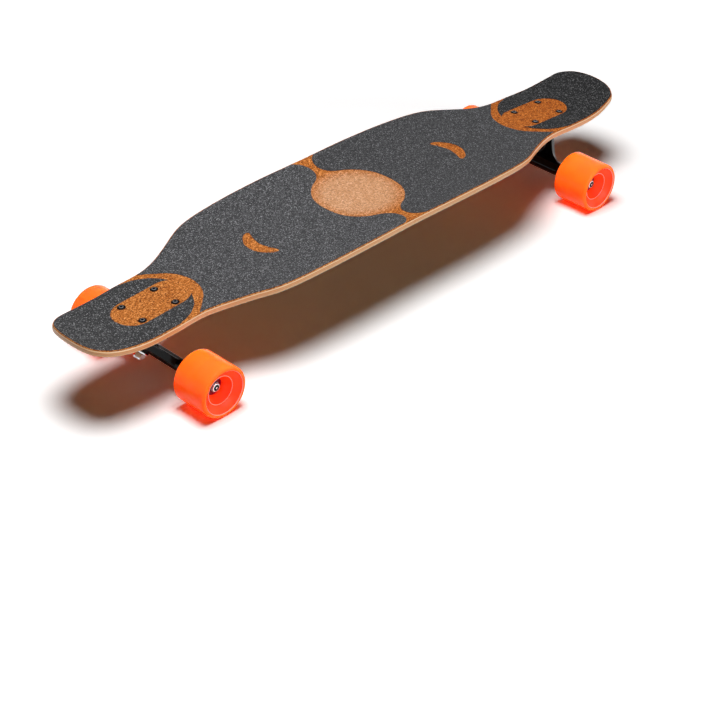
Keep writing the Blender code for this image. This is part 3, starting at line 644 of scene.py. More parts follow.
@dataclass(frozen=True)
class PrintedBamboo(Finish):
    """Lacquered bamboo veneer with a black screen print of diamonds, one in another.

    The veneer shows as honey-coloured strips with a few dark knots under a gloss. The
    piece's UV map gives the place along the deck and the share of its half width.
    """

    uv_map: str = "deck"
    strip: float = 19 * MM
    fibres: tuple[float, float, float] = (18.0, 900.0, 18.0)
    """Fibres a metre: each is about 56 mm long and 1.1 mm wide, drawn coarse to show."""
    tones: Point = (0.62, 0.34)
    """How much of the tone comes from the fibres, and how much from the strip."""
    knot: str = "#8A5524"
    knot_pitch: float = 0.29
    ink_colour: str = "#15130F"
    lines: float = 4.0
    reach: float = 0.084
    spread: float = 0.74
    """The diamonds' lines, counted out to this way along and to this share of the width."""
    weight: Point = (0.56, -0.9)
    """The lines' share of their pitch at the middle, and how it changes along a metre."""
    border: Point = (0.09, 0.03)
    """How far outside the diamonds the border line lies, and half its width."""
    print_half: float = 0.300

    def uniform(self) -> dict[str, Any]:
        """Return the gloss lacquer."""
        return {"Coat Weight": 0.5, "Coat Roughness": 0.18}

    def grain(self, tree: bpy.types.NodeTree) -> tuple[bpy.types.NodeSocket,
                                                       bpy.types.NodeSocket]:
        """Lay the veneer's strips, fibres and knots.

        Args:
            tree: The material's node tree.

        Returns:
            The veneer's colour and its fibre height.
        """
        place = add_node(tree, "ShaderNodeTexCoord").outputs["Object"]
        axes = add_node(tree, "ShaderNodeSeparateXYZ", {"Vector": place})
        strips = add_node(tree, "ShaderNodeMath", {
            0: axes.outputs["Y"], 1: self.strip}, operation="DIVIDE")
        row = add_node(tree, "ShaderNodeMath", {0: strips.outputs[0]}, operation="FLOOR")
        chance = add_node(tree, "ShaderNodeTexWhiteNoise", {"W": row.outputs[0]},
                          noise_dimensions="1D")
        stretch = add_node(tree, "ShaderNodeMapping", {
            "Vector": place, "Scale": self.fibres})
        fibres = add_node(tree, "ShaderNodeTexNoise", {
            "Vector": stretch.outputs["Vector"], "Scale": 1.0, "Detail": 5.0,
            "Roughness": 0.6})
        by_strip = add_node(tree, "ShaderNodeMath", {
            0: chance.outputs["Value"], 1: self.tones[1]}, operation="MULTIPLY")
        tone = add_node(tree, "ShaderNodeMath", {
            0: fibres.outputs["Fac"], 1: self.tones[0], 2: by_strip.outputs[0]},
            operation="MULTIPLY_ADD")
        ramp = add_node(tree, "ShaderNodeValToRGB", {"Fac": tone.outputs[0]}, stops=[
            (0.18, "#C98638"), (0.42, "#E2A24C"), (0.62, self.colour), (0.82, "#F6C478")])
        along = add_node(tree, "ShaderNodeMath", {
            0: axes.outputs["X"], 1: 1 / self.knot_pitch, 2: chance.outputs["Value"]},
            operation="MULTIPLY_ADD")
        near = add_node(tree, "ShaderNodeMath", {0: along.outputs[0], 1: 0.5},
                        operation="PINGPONG")
        knot = add_node(tree, "ShaderNodeMapRange", {
            "Value": near.outputs[0], "From Min": 0.0, "From Max": 0.012,
            "To Min": 0.55, "To Max": 0.0})
        wood = add_node(tree, "ShaderNodeMix", {
            "Factor": knot.outputs["Result"], 6: ramp.outputs["Color"],
            7: linear(self.knot)}, data_type="RGBA")
        return wood.outputs[2], fibres.outputs["Fac"]

    def ink(self, tree: bpy.types.NodeTree) -> bpy.types.NodeSocket:
        """Draw the print as a mask.

        Args:
            tree: The material's node tree.

        Returns:
            1 where there is ink and 0 where the veneer is bare.
        """
        place = add_node(tree, "ShaderNodeUVMap", uv_map=self.uv_map).outputs["UV"]
        axes = add_node(tree, "ShaderNodeSeparateXYZ", {"Vector": place})

        def reckon(operation: str, *values: Any) -> bpy.types.NodeSocket:
            """Return what a sum of the values gives."""
            return add_node(tree, "ShaderNodeMath", dict(enumerate(values)),
                            operation=operation).outputs[0]

        away = reckon("ABSOLUTE", axes.outputs["X"])
        share = reckon("ABSOLUTE", axes.outputs["Y"])
        nest = reckon("MULTIPLY_ADD", away, self.lines / self.reach,
                      reckon("MULTIPLY", share, self.lines / self.spread))
        weight = reckon("MULTIPLY_ADD", away, self.weight[1], self.weight[0])
        lines = reckon("LESS_THAN", reckon("FRACT", nest), weight)
        lines = reckon("MULTIPLY", lines, reckon("LESS_THAN", share, self.spread))
        border = reckon("COMPARE", share, self.spread + self.border[0], self.border[1])
        total = reckon("MAXIMUM", lines, border)
        return reckon("MULTIPLY", total, reckon("LESS_THAN", away, self.print_half))

    def draw(self, tree: bpy.types.NodeTree) -> dict[str, bpy.types.NodeSocket]:
        """Print the ink on the veneer.

        Args:
            tree: The material's node tree.

        Returns:
            What varies over the surface, by the shader's socket.
        """
        veneer, fibre = self.grain(tree)
        cover = add_node(tree, "ShaderNodeMix", {
            "Factor": self.ink(tree), 6: veneer, 7: linear(self.ink_colour)},
            data_type="RGBA")
        bump = add_node(tree, "ShaderNodeBump", {
            "Height": fibre, "Strength": 0.1, "Distance": 0.1 * MM})
        return {"Base Color": cover.outputs[2], "Normal": bump.outputs["Normal"]}


@dataclass(frozen=True)
class Enamel(Finish):
    """Gloss enamel baked on cast aluminium: deep black, with a faint orange peel."""

    ripple: float = 2.4 * MM
    cloud: float = MM / 0.06
    """About 17 mm: the places where it is a little more or less glossy."""
    gloss: Point = (0.7, 1.4)
    """Least and most roughness, as shares of the finish's own."""

    def uniform(self) -> dict[str, Any]:
        """Return the enamel's weak mirror."""
        return {"Specular IOR Level": 0.2}

    def draw(self, tree: bpy.types.NodeTree) -> dict[str, bpy.types.NodeSocket]:
        """Let the enamel ripple and cloud.

        Args:
            tree: The material's node tree.

        Returns:
            What varies over the surface, by the shader's socket.
        """
        place = add_node(tree, "ShaderNodeTexCoord").outputs["Object"]
        peel = add_node(tree, "ShaderNodeTexNoise", {
            "Vector": place, "Scale": 1 / self.ripple, "Detail": 1.0})
        cloud = add_node(tree, "ShaderNodeTexNoise", {
            "Vector": place, "Scale": 1 / self.cloud, "Detail": 2.0})
        gloss = add_node(tree, "ShaderNodeMapRange", {
            "Value": cloud.outputs["Fac"], "To Min": self.roughness * self.gloss[0],
            "To Max": self.roughness * self.gloss[1]})
        bump = add_node(tree, "ShaderNodeBump", {
            "Height": peel.outputs["Fac"], "Strength": 0.05, "Distance": 0.15 * MM})
        return {"Roughness": gloss.outputs["Result"], "Normal": bump.outputs["Normal"]}


@dataclass(frozen=True)
class MarkedFinish(Finish):
    """A smooth finish with the fine marks of making and handling.

    The marks break up its highlight a little, which keeps it from looking drawn.
    """

    mark: float = 0.7 * MM
    detail: float = 3.0
    strength: float = 0.03
    depth: float = 0.1 * MM
    gloss: Point = (0.6, 1.5)
    """Least and most roughness, as shares of the finish's own."""

    def draw(self, tree: bpy.types.NodeTree) -> dict[str, bpy.types.NodeSocket]:
        """Scatter the marks.

        Args:
            tree: The material's node tree.

        Returns:
            What varies over the surface, by the shader's socket.
        """
        place = add_node(tree, "ShaderNodeTexCoord").outputs["Object"]
        marks = add_node(tree, "ShaderNodeTexNoise", {
            "Vector": place, "Scale": 1 / self.mark, "Detail": self.detail})
        gloss = add_node(tree, "ShaderNodeMapRange", {
            "Value": marks.outputs["Fac"], "To Min": self.roughness * self.gloss[0],
            "To Max": self.roughness * self.gloss[1]})
        bump = add_node(tree, "ShaderNodeBump", {
            "Height": marks.outputs["Fac"], "Strength": self.strength,
            "Distance": self.depth})
        return {"Roughness": gloss.outputs["Result"], "Normal": bump.outputs["Normal"]}


@dataclass(frozen=True)
class TurnedMetal(MarkedFinish):
    """Steel, chromed, plated or blackened: it mirrors the room in its own tone."""

    metallic: float = 1.0


@dataclass(frozen=True)
class MouldedPlastic(MarkedFinish):
    """Nylon or nitrile from a mould: an even colour with one soft highlight."""


@dataclass(frozen=True)
class CastUrethane(MarkedFinish):
    """Cast polyurethane: clouded and deeply dyed.

    Red light spreads far inside it, so its shaded sides and its dish glow red while its
    top, where the light enters, stays a paler orange. The shader also gives off a weak red
    of its own: a painted glow, which lights the urethane as no lamp does.
    """

    scatter: float = 12 * MM
    radius: tuple[float, float, float] = (1.0, 0.12, 0.03)
    """How far red, green and blue spread, as shares of the scatter."""
    weight: float = 1.0
    # The colour and strength of a painted red glow, given off as no lamp does.
    glow_colour: str = "#FF2008"
    painted_glow: float = 0.0
    mark: float = MM / 0.14
    """About 7 mm: the clouds that handling and dust leave on the gloss."""
    detail: float = 4.0
    strength: float = 0.04
    depth: float = 0.2 * MM
    gloss: Point = (0.7, 1.35)

    def uniform(self) -> dict[str, Any]:
        """Return how the light spreads inside, and the painted red glow."""
        return {
            # The emission is a painted red glow.
            "Subsurface Weight": self.weight, "Subsurface Radius": self.radius,
            "Subsurface Scale": self.scatter, "IOR": 1.49, "Specular IOR Level": 0.12,
            "Emission Color": linear(self.glow_colour), "Emission Strength": self.painted_glow}


# Deck


@dataclass
class DeckForm:
    """The deck's outline and curved surface; heights are those of the cork's upper face."""

    length: float = 1.001
    mount_x: float = 0.3715
    mount_height: float = 0.1086
    mount_slope: float = 0.055
    flat_start: float = 0.325
    flat_end: float = 0.401
    nose_kick: float = 2.16
    tail_kick: float = 1.72
    concave_rise: float = 0.0092
    concave_half_width: float = 0.112
    concave_fade_start: float = 0.26
    waist: tuple[Point, ...] = (
        (0.000, 0.1113), (0.083, 0.1121), (0.168, 0.1097), (0.232, 0.1018), (0.281, 0.0808),
        (0.309, 0.0695), (0.336, 0.0636), (0.382, 0.0634))
    nose: tuple[Point, ...] = (
        (0.438, 0.0617), (0.462, 0.0585), (0.482, 0.0526), (0.4955, 0.0330))
    tail: tuple[Point, ...] = (
        (0.438, 0.0608), (0.474, 0.0536), (0.492, 0.0405), (0.4988, 0.0235))
    step: float = 0.004
    """About how far apart the outline's points lie."""

    def height(self, x: float, y: float) -> float:
        """Work out how high the surface is.

        Args:
            x: The place along the deck.
            y: The place across it.

        Returns:
            The height over the ground.
        """
        away = abs(x)
        flat_top = self.mount_height + self.mount_slope * (self.mount_x - self.flat_start)
        if away < self.flat_start:
            curve = self.mount_slope / (2 * self.flat_start)
            height = flat_top + curve * (self.flat_start**2 - away**2)
        else:
            height = flat_top - self.mount_slope * (away - self.flat_start)
        if away > self.flat_end:
            height += (self.nose_kick if x > 0 else self.tail_kick) * (away - self.flat_end)**2
        fade = (self.flat_start - away) / (self.flat_start - self.concave_fade_start)
        fade = min(1.0, max(0.0, fade))
        fade = fade * fade * (3 - 2 * fade)
        return height + self.concave_rise * fade * (abs(y) / self.concave_half_width)**3

    def half_outline(self) -> list[tuple[Point, Point]]:
        """Walk the left half of the outline, from the nose's tip to the tail's.

        Returns:
            Pairs of a point and the outline's outward normal there.
        """
        tip = self.length / 2
        far = [*reversed(self.waist + self.nose)]
        far += [(-x, y) for x, y in self.waist[1:] + self.tail]
        loop = [(tip, 0.0)] + far + [(-tip, 0.0)] + [(x, -y) for x, y in reversed(far)]
        path = smooth_path(loop, self.step, closed=True)
        half = path[:len(path) // 2 + 1]
        pairs = []
        for i, point in enumerate(half):
            before, after = path[i - 1], path[(i + 1) % len(path)]
            run = Vector((after[0] - before[0], after[1] - before[1])).normalized()
            pairs.append((point, (run.y, -run.x)))
        return pairs

    def outline(self, inset: float) -> list[Point]:
        """Walk the whole outline, set in by a distance.

        Args:
            inset: The distance.

        Returns:
            The closed outline's points.
        """
        half = [(p[0] - n[0] * inset, max(0.0, p[1] - n[1] * inset))
                for p, n in self.half_outline()]
        half[0] = (half[0][0], 0.0)
        half[-1] = (half[-1][0], 0.0)
        return half + [(x, -y) for x, y in reversed(half[1:-1])]


@dataclass
class Deck:
    """The laminate, its cork sheet and its grip."""

    form: DeckForm
    cork_thickness: float = 0.0010
    total_thickness: float = 0.0105
    across: int = 34
    """How many faces cross the deck."""
    roll_start: float = 0.40
    roll_length: float = 0.08
    """Where the rim's rounding grows towards the ends, and over what way."""
    grip_thickness: float = 0.0004
    grip_inset: float = 0.0021
    grip_lift: float = 0.00005
    grip_cell: float = 0.007
    """Size of the grip's faces, which bend with the deck."""
    sheet_box: tuple[float, float, float] = (0.0, 0.364, 0.126)
    end_box: tuple[float, float, float] = (0.294, 0.511, 0.077)
    """Nearest and furthest place along the deck, and half width, that hold a grip piece."""
    bolt_radius: float = 0.0058
    bolt_sink: float = 0.0032

    def layer(self, name: str, rings: Sequence[Point], tip_roll: float) -> bpy.types.Object:
        """Build one closed layer of the deck from its rim's section.

        Args:
            name: The new object's name.
            rings: (inset, depth) round the rim, from the upper face to the lower.
            tip_roll: How much further the rim's insets reach at the deck's ends.

        Returns:
            A closed mesh whose lower face has material index 1 and the rest 0.
        """
        pairs = self.form.half_outline()
        shape = bmesh.new()
        uv = shape.loops.layers.uv.new("deck")
        arcs = [0.0]
        for (first, _), (second, _) in zip(pairs, pairs[1:]):
            arcs.append(arcs[-1] + math.dist(first, second))

        def edge_point(i: int, side: int, inset: float, depth: float) -> Vector:
            """Place a point of the rim.

            Args:
                i: The number of the outline's point.
                side: 1 on the left and -1 on the right.
                inset: How far it is set in.
                depth: How far it lies below the deck's top.

            Returns:
                The place.
            """
            (x, y), (nx, ny) = pairs[i]
            roll = min(1.0, max(0.0, (abs(x) - self.roll_start) / self.roll_length))
            reach = inset * (1 + tip_roll * roll)
            x, y = x - nx * reach, max(0.0, y - ny * reach)
            if i in (0, len(pairs) - 1):
                y = 0.0
            return Vector((x, side * y, self.form.height(x, y) - depth))

        def ring_verts(inset: float, depth: float) -> list[list[bmesh.types.BMVert]]:
            """Make one ring of the rim.

            Args:
                inset: How far it is set in.
                depth: How far it lies below the deck's top.

            Returns:
                Its left and right half, which share both tips.
            """
            left = [shape.verts.new(edge_point(i, 1, inset, depth)) for i in range(len(pairs))]
            right = [left[0]] + [
                shape.verts.new(edge_point(i, -1, inset, depth))
                for i in range(1, len(pairs) - 1)] + [left[-1]]
            return [left, right]

        def face(verts: Sequence[bmesh.types.BMVert], coords: Sequence[Point],
                 index: int) -> None:
            """Make a face, with three corners where two of the four are one.

            Args:
                verts: Its corners.
                coords: The corners' places on the UV map.
                index: The index of its material.
            """
            kept = [k for k in range(len(verts)) if verts[k] is not verts[k - 1]]
            if len(kept) < 3:
                return
            made = shape.faces.new([verts[k] for k in kept])
            made.material_index = index
            for loop, k in zip(made.loops, kept):
                loop[uv].uv = coords[k]

        def sheet(ring: Sequence[Sequence[bmesh.types.BMVert]], depth: float,
                  lower: bool) -> None:
            """Close the layer with faces across the deck.

            Args:
                ring: The ring that they fill.
                depth: How far they lie below the deck's top.
                lower: Whether this is the lower face.
            """
            rows = []
            for i in range(len(pairs)):
                left, right = ring[0][i], ring[1][i]
                if left is right:
                    rows.append([left] * (self.across + 1))
                    continue
                row = [left]
                for k in range(1, self.across):
                    y = left.co.y * (1 - 2 * k / self.across)
                    row.append(shape.verts.new(
                        (left.co.x, y, self.form.height(left.co.x, y) - depth)))
                rows.append(row + [right])
            for near, far in zip(rows, rows[1:]):
                for k in range(self.across):
                    verts = [near[k], far[k], far[k + 1], near[k + 1]]
                    shares = [1 - 2 * (k + step) / self.across for step in (0, 0, 1, 1)]
                    coords = [(vert.co.x, share) for vert, share in zip(verts, shares)]
                    face(verts, coords, int(lower))

        loops = [ring_verts(inset, depth) for inset, depth in rings]
        for (upper, lower), (high, low) in zip(zip(loops, loops[1:]), zip(rings, rings[1:])):
            for side in (0, 1):
                for i in range(len(pairs) - 1):
                    verts = [upper[side][i], upper[side][i + 1],
                             lower[side][i + 1], lower[side][i]]
                    coords = [(arcs[i], high[1]), (arcs[i + 1], high[1]),
                              (arcs[i + 1], low[1]), (arcs[i], low[1])]
                    face(verts, coords, 0)
        sheet(loops[0], rings[0][1], lower=False)
        sheet(loops[-1], rings[-1][1], lower=True)
        bmesh.ops.recalc_face_normals(shape, faces=shape.faces)
        return shaped(name, shape)

    def bolt_cutters(self, trucks: Sequence["Truck"], radius: float) -> list[bpy.types.Object]:
        """Make cutters for the eight bolt heads.

        Args:
            trucks: The trucks that the bolts hold.
            radius: The cutters' radius.

        Returns:
            The cutters, in place.
        """
        return [moved(plug("bolt_cutter", radius, self.total_thickness - self.bolt_sink,
                           0.030, 32),
                      truck.mount @ Matrix.Translation((along, across, 0.0)))
                for truck in trucks for along, across in truck.bolt_places()]

    def bent(self, flat: bpy.types.Object, lift: float) -> bpy.types.Object:
        """Bend a flat piece onto the deck's surface.

        Args:
            flat: The piece, which lies on z = 0.
            lift: How far over the deck's top z = 0 comes to lie.

        Returns:
            The same piece.
        """
        for vert in flat.data.vertices:
            vert.co.z += self.form.height(vert.co.x, vert.co.y) + lift
        return flat

    def grip(self, name: str, outlines: Sequence[Sequence[Point]], cut: Sequence[Point],
             box: tuple[float, float, float], end: End) -> bpy.types.Object:
        """Cut one sheet of grip to its outline and bend it onto the deck.

        Args:
            name: The new object's name.
            outlines: Closed outlines that all hold the sheet.
            cut: A closed outline to take out, or an empty list.
            box: The sheet's nearest and furthest place along the deck, and half width.
            end: The end of the deck that it lies at.

        Returns:
            The sheet, a closed mesh.
        """
        near, far, half = box
        shape = bmesh.new()
        bmesh.ops.create_grid(
            shape, x_segments=round((far - near) / self.grip_cell),
            y_segments=round(2 * half / self.grip_cell), size=0.5)
        middle = Vector(((near + far) / 2, 0.0, 0.0))
        bmesh.ops.transform(shape, verts=shape.verts, matrix=Matrix.Translation(
            middle) @ Matrix.Diagonal((far - near, 2 * half, 1.0, 1.0)))
        lower = bmesh.ops.extrude_face_region(shape, geom=shape.faces[:])["geom"]
        lower = [item for item in lower if isinstance(item, bmesh.types.BMVert)]
        bmesh.ops.translate(shape, verts=lower, vec=(0.0, 0.0, -self.grip_thickness))
        bmesh.ops.recalc_face_normals(shape, faces=shape.faces)
        sheet = moved(shaped(name, shape), quarter("Z", 1 - end.value))
        for outline in outlines:
            sheet = combine(sheet, Merge.COMMON, prism("outline", outline, -0.01, 0.01))
        if cut:
            sheet = combine(sheet, Merge.CUT, prism("cut", cut, -0.01, 0.01))
        return self.bent(sheet, self.grip_thickness + self.grip_lift)

    def build(self, trucks: Sequence["Truck"], finishes: Finishes) -> None:
        """Build and dress every piece of the deck.

        Args:
            trucks: The trucks, whose bolts pass through the deck.
            finishes: The materials by name.
        """
        cork = self.layer("cork_sheet", [
            (0.0012, 0.0), (0.0010, 0.00005), (0.00085, 0.0002), (0.00068, 0.0005),
            (0.00054, self.cork_thickness)], 0.3)
        cork = combine(cork, Merge.CUT, *self.bolt_cutters(trucks, self.bolt_radius))
        dressed(cork, "deck", "cork", ["deck_cork_sheet"], finishes["cork"], finishes["cork"])
        core = self.layer("deck_laminate", [
            (0.00054, self.cork_thickness), (0.00035, 0.0015), (0.00021, 0.0020),
            (0.00005, 0.0030), (0.0, 0.0040), (0.0, 0.0068), (0.0002, 0.0079),
            (0.0007, 0.0089), (0.0015, 0.0097), (0.0026, 0.0103),
            (0.0036, self.total_thickness)], 0.7)
        core = combine(core, Merge.CUT, *self.bolt_cutters(trucks, self.bolt_radius - 0.0002))
        dressed(core, "deck", "bamboo", ["deck_core"], finishes["edge"], finishes["underside"])
        rim = self.form.outline(self.grip_inset)
        for end, place in ((End.NOSE, "front"), (End.TAIL, "rear")):
            for name, node, outline, cut, box in (
                    ("grip_sheet_" + place, "grip_" + place + "_sheet", sheet_outline(),
                     crescent_outline(), self.sheet_box),
                    ("grip_end_" + end.label, "grip_" + end.label + "_piece",
                     end_piece_outline(), [], self.end_box)):
                piece = self.grip(name, [turned_end(outline, end), rim],
                                  turned_end(cut, end), box, end)
                dressed(piece, "deck", "grip", [node], finishes[node], crease=50.0)


# Outlines of the grip, seen from above at the nose end


def turned_end(points: Sequence[Point], end: End) -> list[Point]:
    """Turn an outline half a turn for the tail end."""
    return [(end.value * x, end.value * y) for x, y in points]


def sheet_outline() -> list[Point]:
    """Draw the large sheet's outline, wider than the deck at its sides.

    Returns:
        The closed outline's points.
    """
    ring = smooth_path([
        (0.061, 0.000), (0.059, 0.019), (0.0535, 0.034), (0.044, 0.0465), (0.032, 0.0565),
        (0.020, 0.0625), (0.012, 0.069), (0.007, 0.077), (0.0055, 0.087), (0.008, 0.097),
        (0.014, 0.105), (0.024, 0.111), (0.040, 0.120)], 0.003)
    far = smooth_path([
        (0.298, 0.000), (0.2995, 0.012), (0.304, 0.025), (0.312, 0.0365), (0.322, 0.046),
        (0.331, 0.054), (0.341, 0.062), (0.350, 0.072)], 0.003)
    upper = ring + [(0.20, 0.130)] + list(reversed(far))
    return mirrored(upper[1:-1] + [upper[-1]]) + [upper[0]]


def crescent_outline() -> list[Point]:
    """Draw the crescent that shows cork inside the large sheet.

    Returns:
        The closed outline's points.
    """
    outer = smooth_path([
        (0.1765, 0.0317), (0.184, 0.0295), (0.191, 0.023), (0.198, 0.012), (0.2003, 0.0)],
        0.002)
    inner = smooth_path([
        (0.1825, 0.0), (0.1817, 0.006), (0.1787, 0.017), (0.1743, 0.0285)], 0.002)
    upper = list(reversed(outer)) + list(reversed(inner))
    lower = [(x, -y) for x, y in reversed(upper)]
    return upper + lower[1:-1]


def end_piece_outline() -> list[Point]:
    """Draw the end piece's outline, with its slot open towards the middle.

    Returns:
        The closed outline's points.
    """
    tip, wide, edge = 0.0215, 0.072, 0.520
    centre, radius = 0.376, 0.0605
    reach = centre - math.sqrt(radius**2 - tip**2)
    horn = arc((centre, 0.0), radius, 159.0, 97.0, 26)
    slot = arc((0.338, 0.0), 0.0287, 126.0, 90.0, 12) + arc(
        (0.3965, 0.0), 0.0287, 90.0, 0.0, 28)
    outer = [(reach, tip + 0.0004)] + horn[1:] + [(0.372, wide), (edge, wide)]
    inner = list(reversed(slot))
    lower_outer = [(x, -y) for x, y in reversed(outer)]
    lower_inner = [(x, -y) for x, y in reversed(inner[1:])]
    return inner + outer + lower_outer + lower_inner


# Repeated pieces


@dataclass(frozen=True)
class Pattern:
    """Geometry Nodes that set out copies of one piece and make them one mesh."""

    def sizes(self) -> dict[str, tuple[str, float]]:
        """Return the kind and value of each size, by the name of its input."""
        raise NotImplementedError

    def spots(self, tree: bpy.types.NodeTree, given: bpy.types.bpy_prop_collection
              ) -> tuple[bpy.types.NodeSocket, bpy.types.NodeSocket]:
        """Lay the points.

        Args:
            tree: The node tree.
            given: The tree's inputs by name.

        Returns:
            The points, and the turn of the copy at each.
        """
        raise NotImplementedError

    def build(self, name: str, piece: bpy.types.Object,
              finish: bpy.types.Material) -> bpy.types.Object:
        """Set out the copies.

        Args:
            name: The new object's name.
            piece: One piece at the origin, which is used up.
            finish: Its material.

        Returns:
            One plain mesh with all of them.
        """
        inputs = {"Piece": ("Object", piece), "Finish": ("Material", finish)} | self.sizes()
        tree = bpy.data.node_groups.new(name, "GeometryNodeTree")
        tree.interface.new_socket("Geometry", in_out="OUTPUT",
                                  socket_type="NodeSocketGeometry")
        keys = {title: tree.interface.new_socket(
            title, in_out="INPUT", socket_type="NodeSocket" + kind).identifier
            for title, (kind, _) in inputs.items()}
        given = add_node(tree, "NodeGroupInput").outputs
        source = add_node(tree, "GeometryNodeObjectInfo", {"Object": given["Piece"]})
        points, turns = self.spots(tree, given)
        copies = add_node(tree, "GeometryNodeInstanceOnPoints", {
            "Points": points, "Instance": source.outputs["Geometry"], "Rotation": turns})
        real = add_node(tree, "GeometryNodeRealizeInstances", {
            "Geometry": copies.outputs["Instances"]})
        coated = add_node(tree, "GeometryNodeSetMaterial", {
            "Geometry": real.outputs["Geometry"], "Material": given["Finish"]})
        add_node(tree, "NodeGroupOutput", {"Geometry": coated.outputs["Geometry"]})
        carrier = new_object(name, bpy.data.meshes.new(name))
        change = carrier.modifiers.new("pattern", "NODES")
        change.node_group = tree
        for title, (_, value) in inputs.items():
            change[keys[title]] = value
        result = bake(carrier)
        bpy.data.objects.remove(piece, do_unlink=True)
        return result


@dataclass(frozen=True)
class BoltPattern(Pattern):
    """A fastener at each corner of a rectangle, turned at random as a hand leaves it."""

    along: float
    across: float
    seed: int = 7
    most_turn: float = 6.283

    def sizes(self) -> dict[str, tuple[str, float]]:
        """Return the kind and value of each size, by the name of its input."""
        return {"Along": ("Float", self.along), "Across": ("Float", self.across),
                "Seed": ("Int", self.seed)}

    def spots(self, tree: bpy.types.NodeTree, given: bpy.types.bpy_prop_collection
              ) -> tuple[bpy.types.NodeSocket, bpy.types.NodeSocket]:
        """Lay a point at each corner.

        Args:
            tree: The node tree.
            given: The tree's inputs by name.

        Returns:
            The points, and the turn of the copy at each.
        """
        corners = add_node(tree, "GeometryNodeMeshGrid", {
            "Size X": given["Along"], "Size Y": given["Across"], "Vertices X": 2,
            "Vertices Y": 2})
        turn = add_node(tree, "FunctionNodeRandomValue", {
            0: (0.0, 0.0, 0.0), 1: (0.0, 0.0, self.most_turn), "Seed": given["Seed"]},
            data_type="FLOAT_VECTOR")
        return corners.outputs["Mesh"], turn.outputs[0]


@dataclass(frozen=True)
class RibRing(Pattern):
    """Ribs in a ring about Z; one rib points along +X before it is set out."""

    count: int
    radius: float

    def sizes(self) -> dict[str, tuple[str, float]]:
        """Return the kind and value of each size, by the name of its input."""
        return {"Count": ("Int", self.count), "Radius": ("Float", self.radius)}

    def spots(self, tree: bpy.types.NodeTree, given: bpy.types.bpy_prop_collection
              ) -> tuple[bpy.types.NodeSocket, bpy.types.NodeSocket]:
        """Lay the points round the ring, each rib facing outwards.

        Args:
            tree: The node tree.
            given: The tree's inputs by name.

        Returns:
            The points, and the turn of the copy at each.
        """
        ring = add_node(tree, "GeometryNodeMeshCircle", {
            "Vertices": given["Count"], "Radius": given["Radius"]})
        step = add_node(tree, "ShaderNodeMath", {0: math.tau, 1: given["Count"]},
                        operation="DIVIDE")
        angle = add_node(tree, "ShaderNodeMath", {
            0: add_node(tree, "GeometryNodeInputIndex").outputs["Index"],
            1: step.outputs[0]}, operation="MULTIPLY")
        facing = add_node(tree, "ShaderNodeCombineXYZ", {"Z": angle.outputs[0]})
        return ring.outputs["Mesh"], facing.outputs["Vector"]


def hex_nut(name: str, across_flats: float, bore: float, height: float,
            crown: float) -> bpy.types.Object:
    """Make a lock nut that stands on z = 0.

    Args:
        name: The new object's name.
        across_flats: Distance between two opposite flats.
        bore: Radius of the hole.
        height: Height of the hexagon.
        crown: Height of the round collar on it.

    Returns:
        A hexagon with turned chamfers and a rounded collar, which has material index 2
        and whose nylon insert has index 1.
    """
    corner = across_flats / math.sqrt(3.0)
    flat = across_flats / 2
    body = prism(name, arc((0.0, 0.0), corner, 0.0, 300.0, 5), 0.0, height)
    drop = (corner - flat) * 0.75
    chamfer = turned("chamfer", [
        (0.0, height), (flat * 0.96, height), (corner + 0.0002, height - drop),
        (corner + 0.0002, drop * 0.6), (flat * 0.98, 0.0), (0.0, 0.0)], 72, closed=False)
    body = combine(body, Merge.COMMON, chamfer)
    insert = bore + (flat * 0.84 - bore) * 0.15
    sunk = height + crown * 0.75
    collar = turned("collar", [
        (0.0, sunk), (insert, sunk), (insert, height + crown),
        (flat * 0.84, height + crown), (flat * 0.90, height + crown * 0.84),
        (flat * 0.93, height + crown * 0.5), (flat * 0.93, height - 0.0004),
        (0.0, height - 0.0004)], 72, closed=False)
    hole = plug("hole", bore, -0.01, 0.05, 48)
    nut = combine(combine(body, Merge.JOIN, collar), Merge.CUT, hole)

    def choose(reach: float, face: bpy.types.MeshPolygon) -> int:
        """Return 1 on the sunk insert, 2 on the collar and 0 on the hexagon."""
        if reach < insert and abs(face.center.z - sunk) < 0.00005:
            return 1
        return 2 if reach > insert and face.center.z > height + 0.00005 else 0

    return indexed(nut, choose)


# Trucks


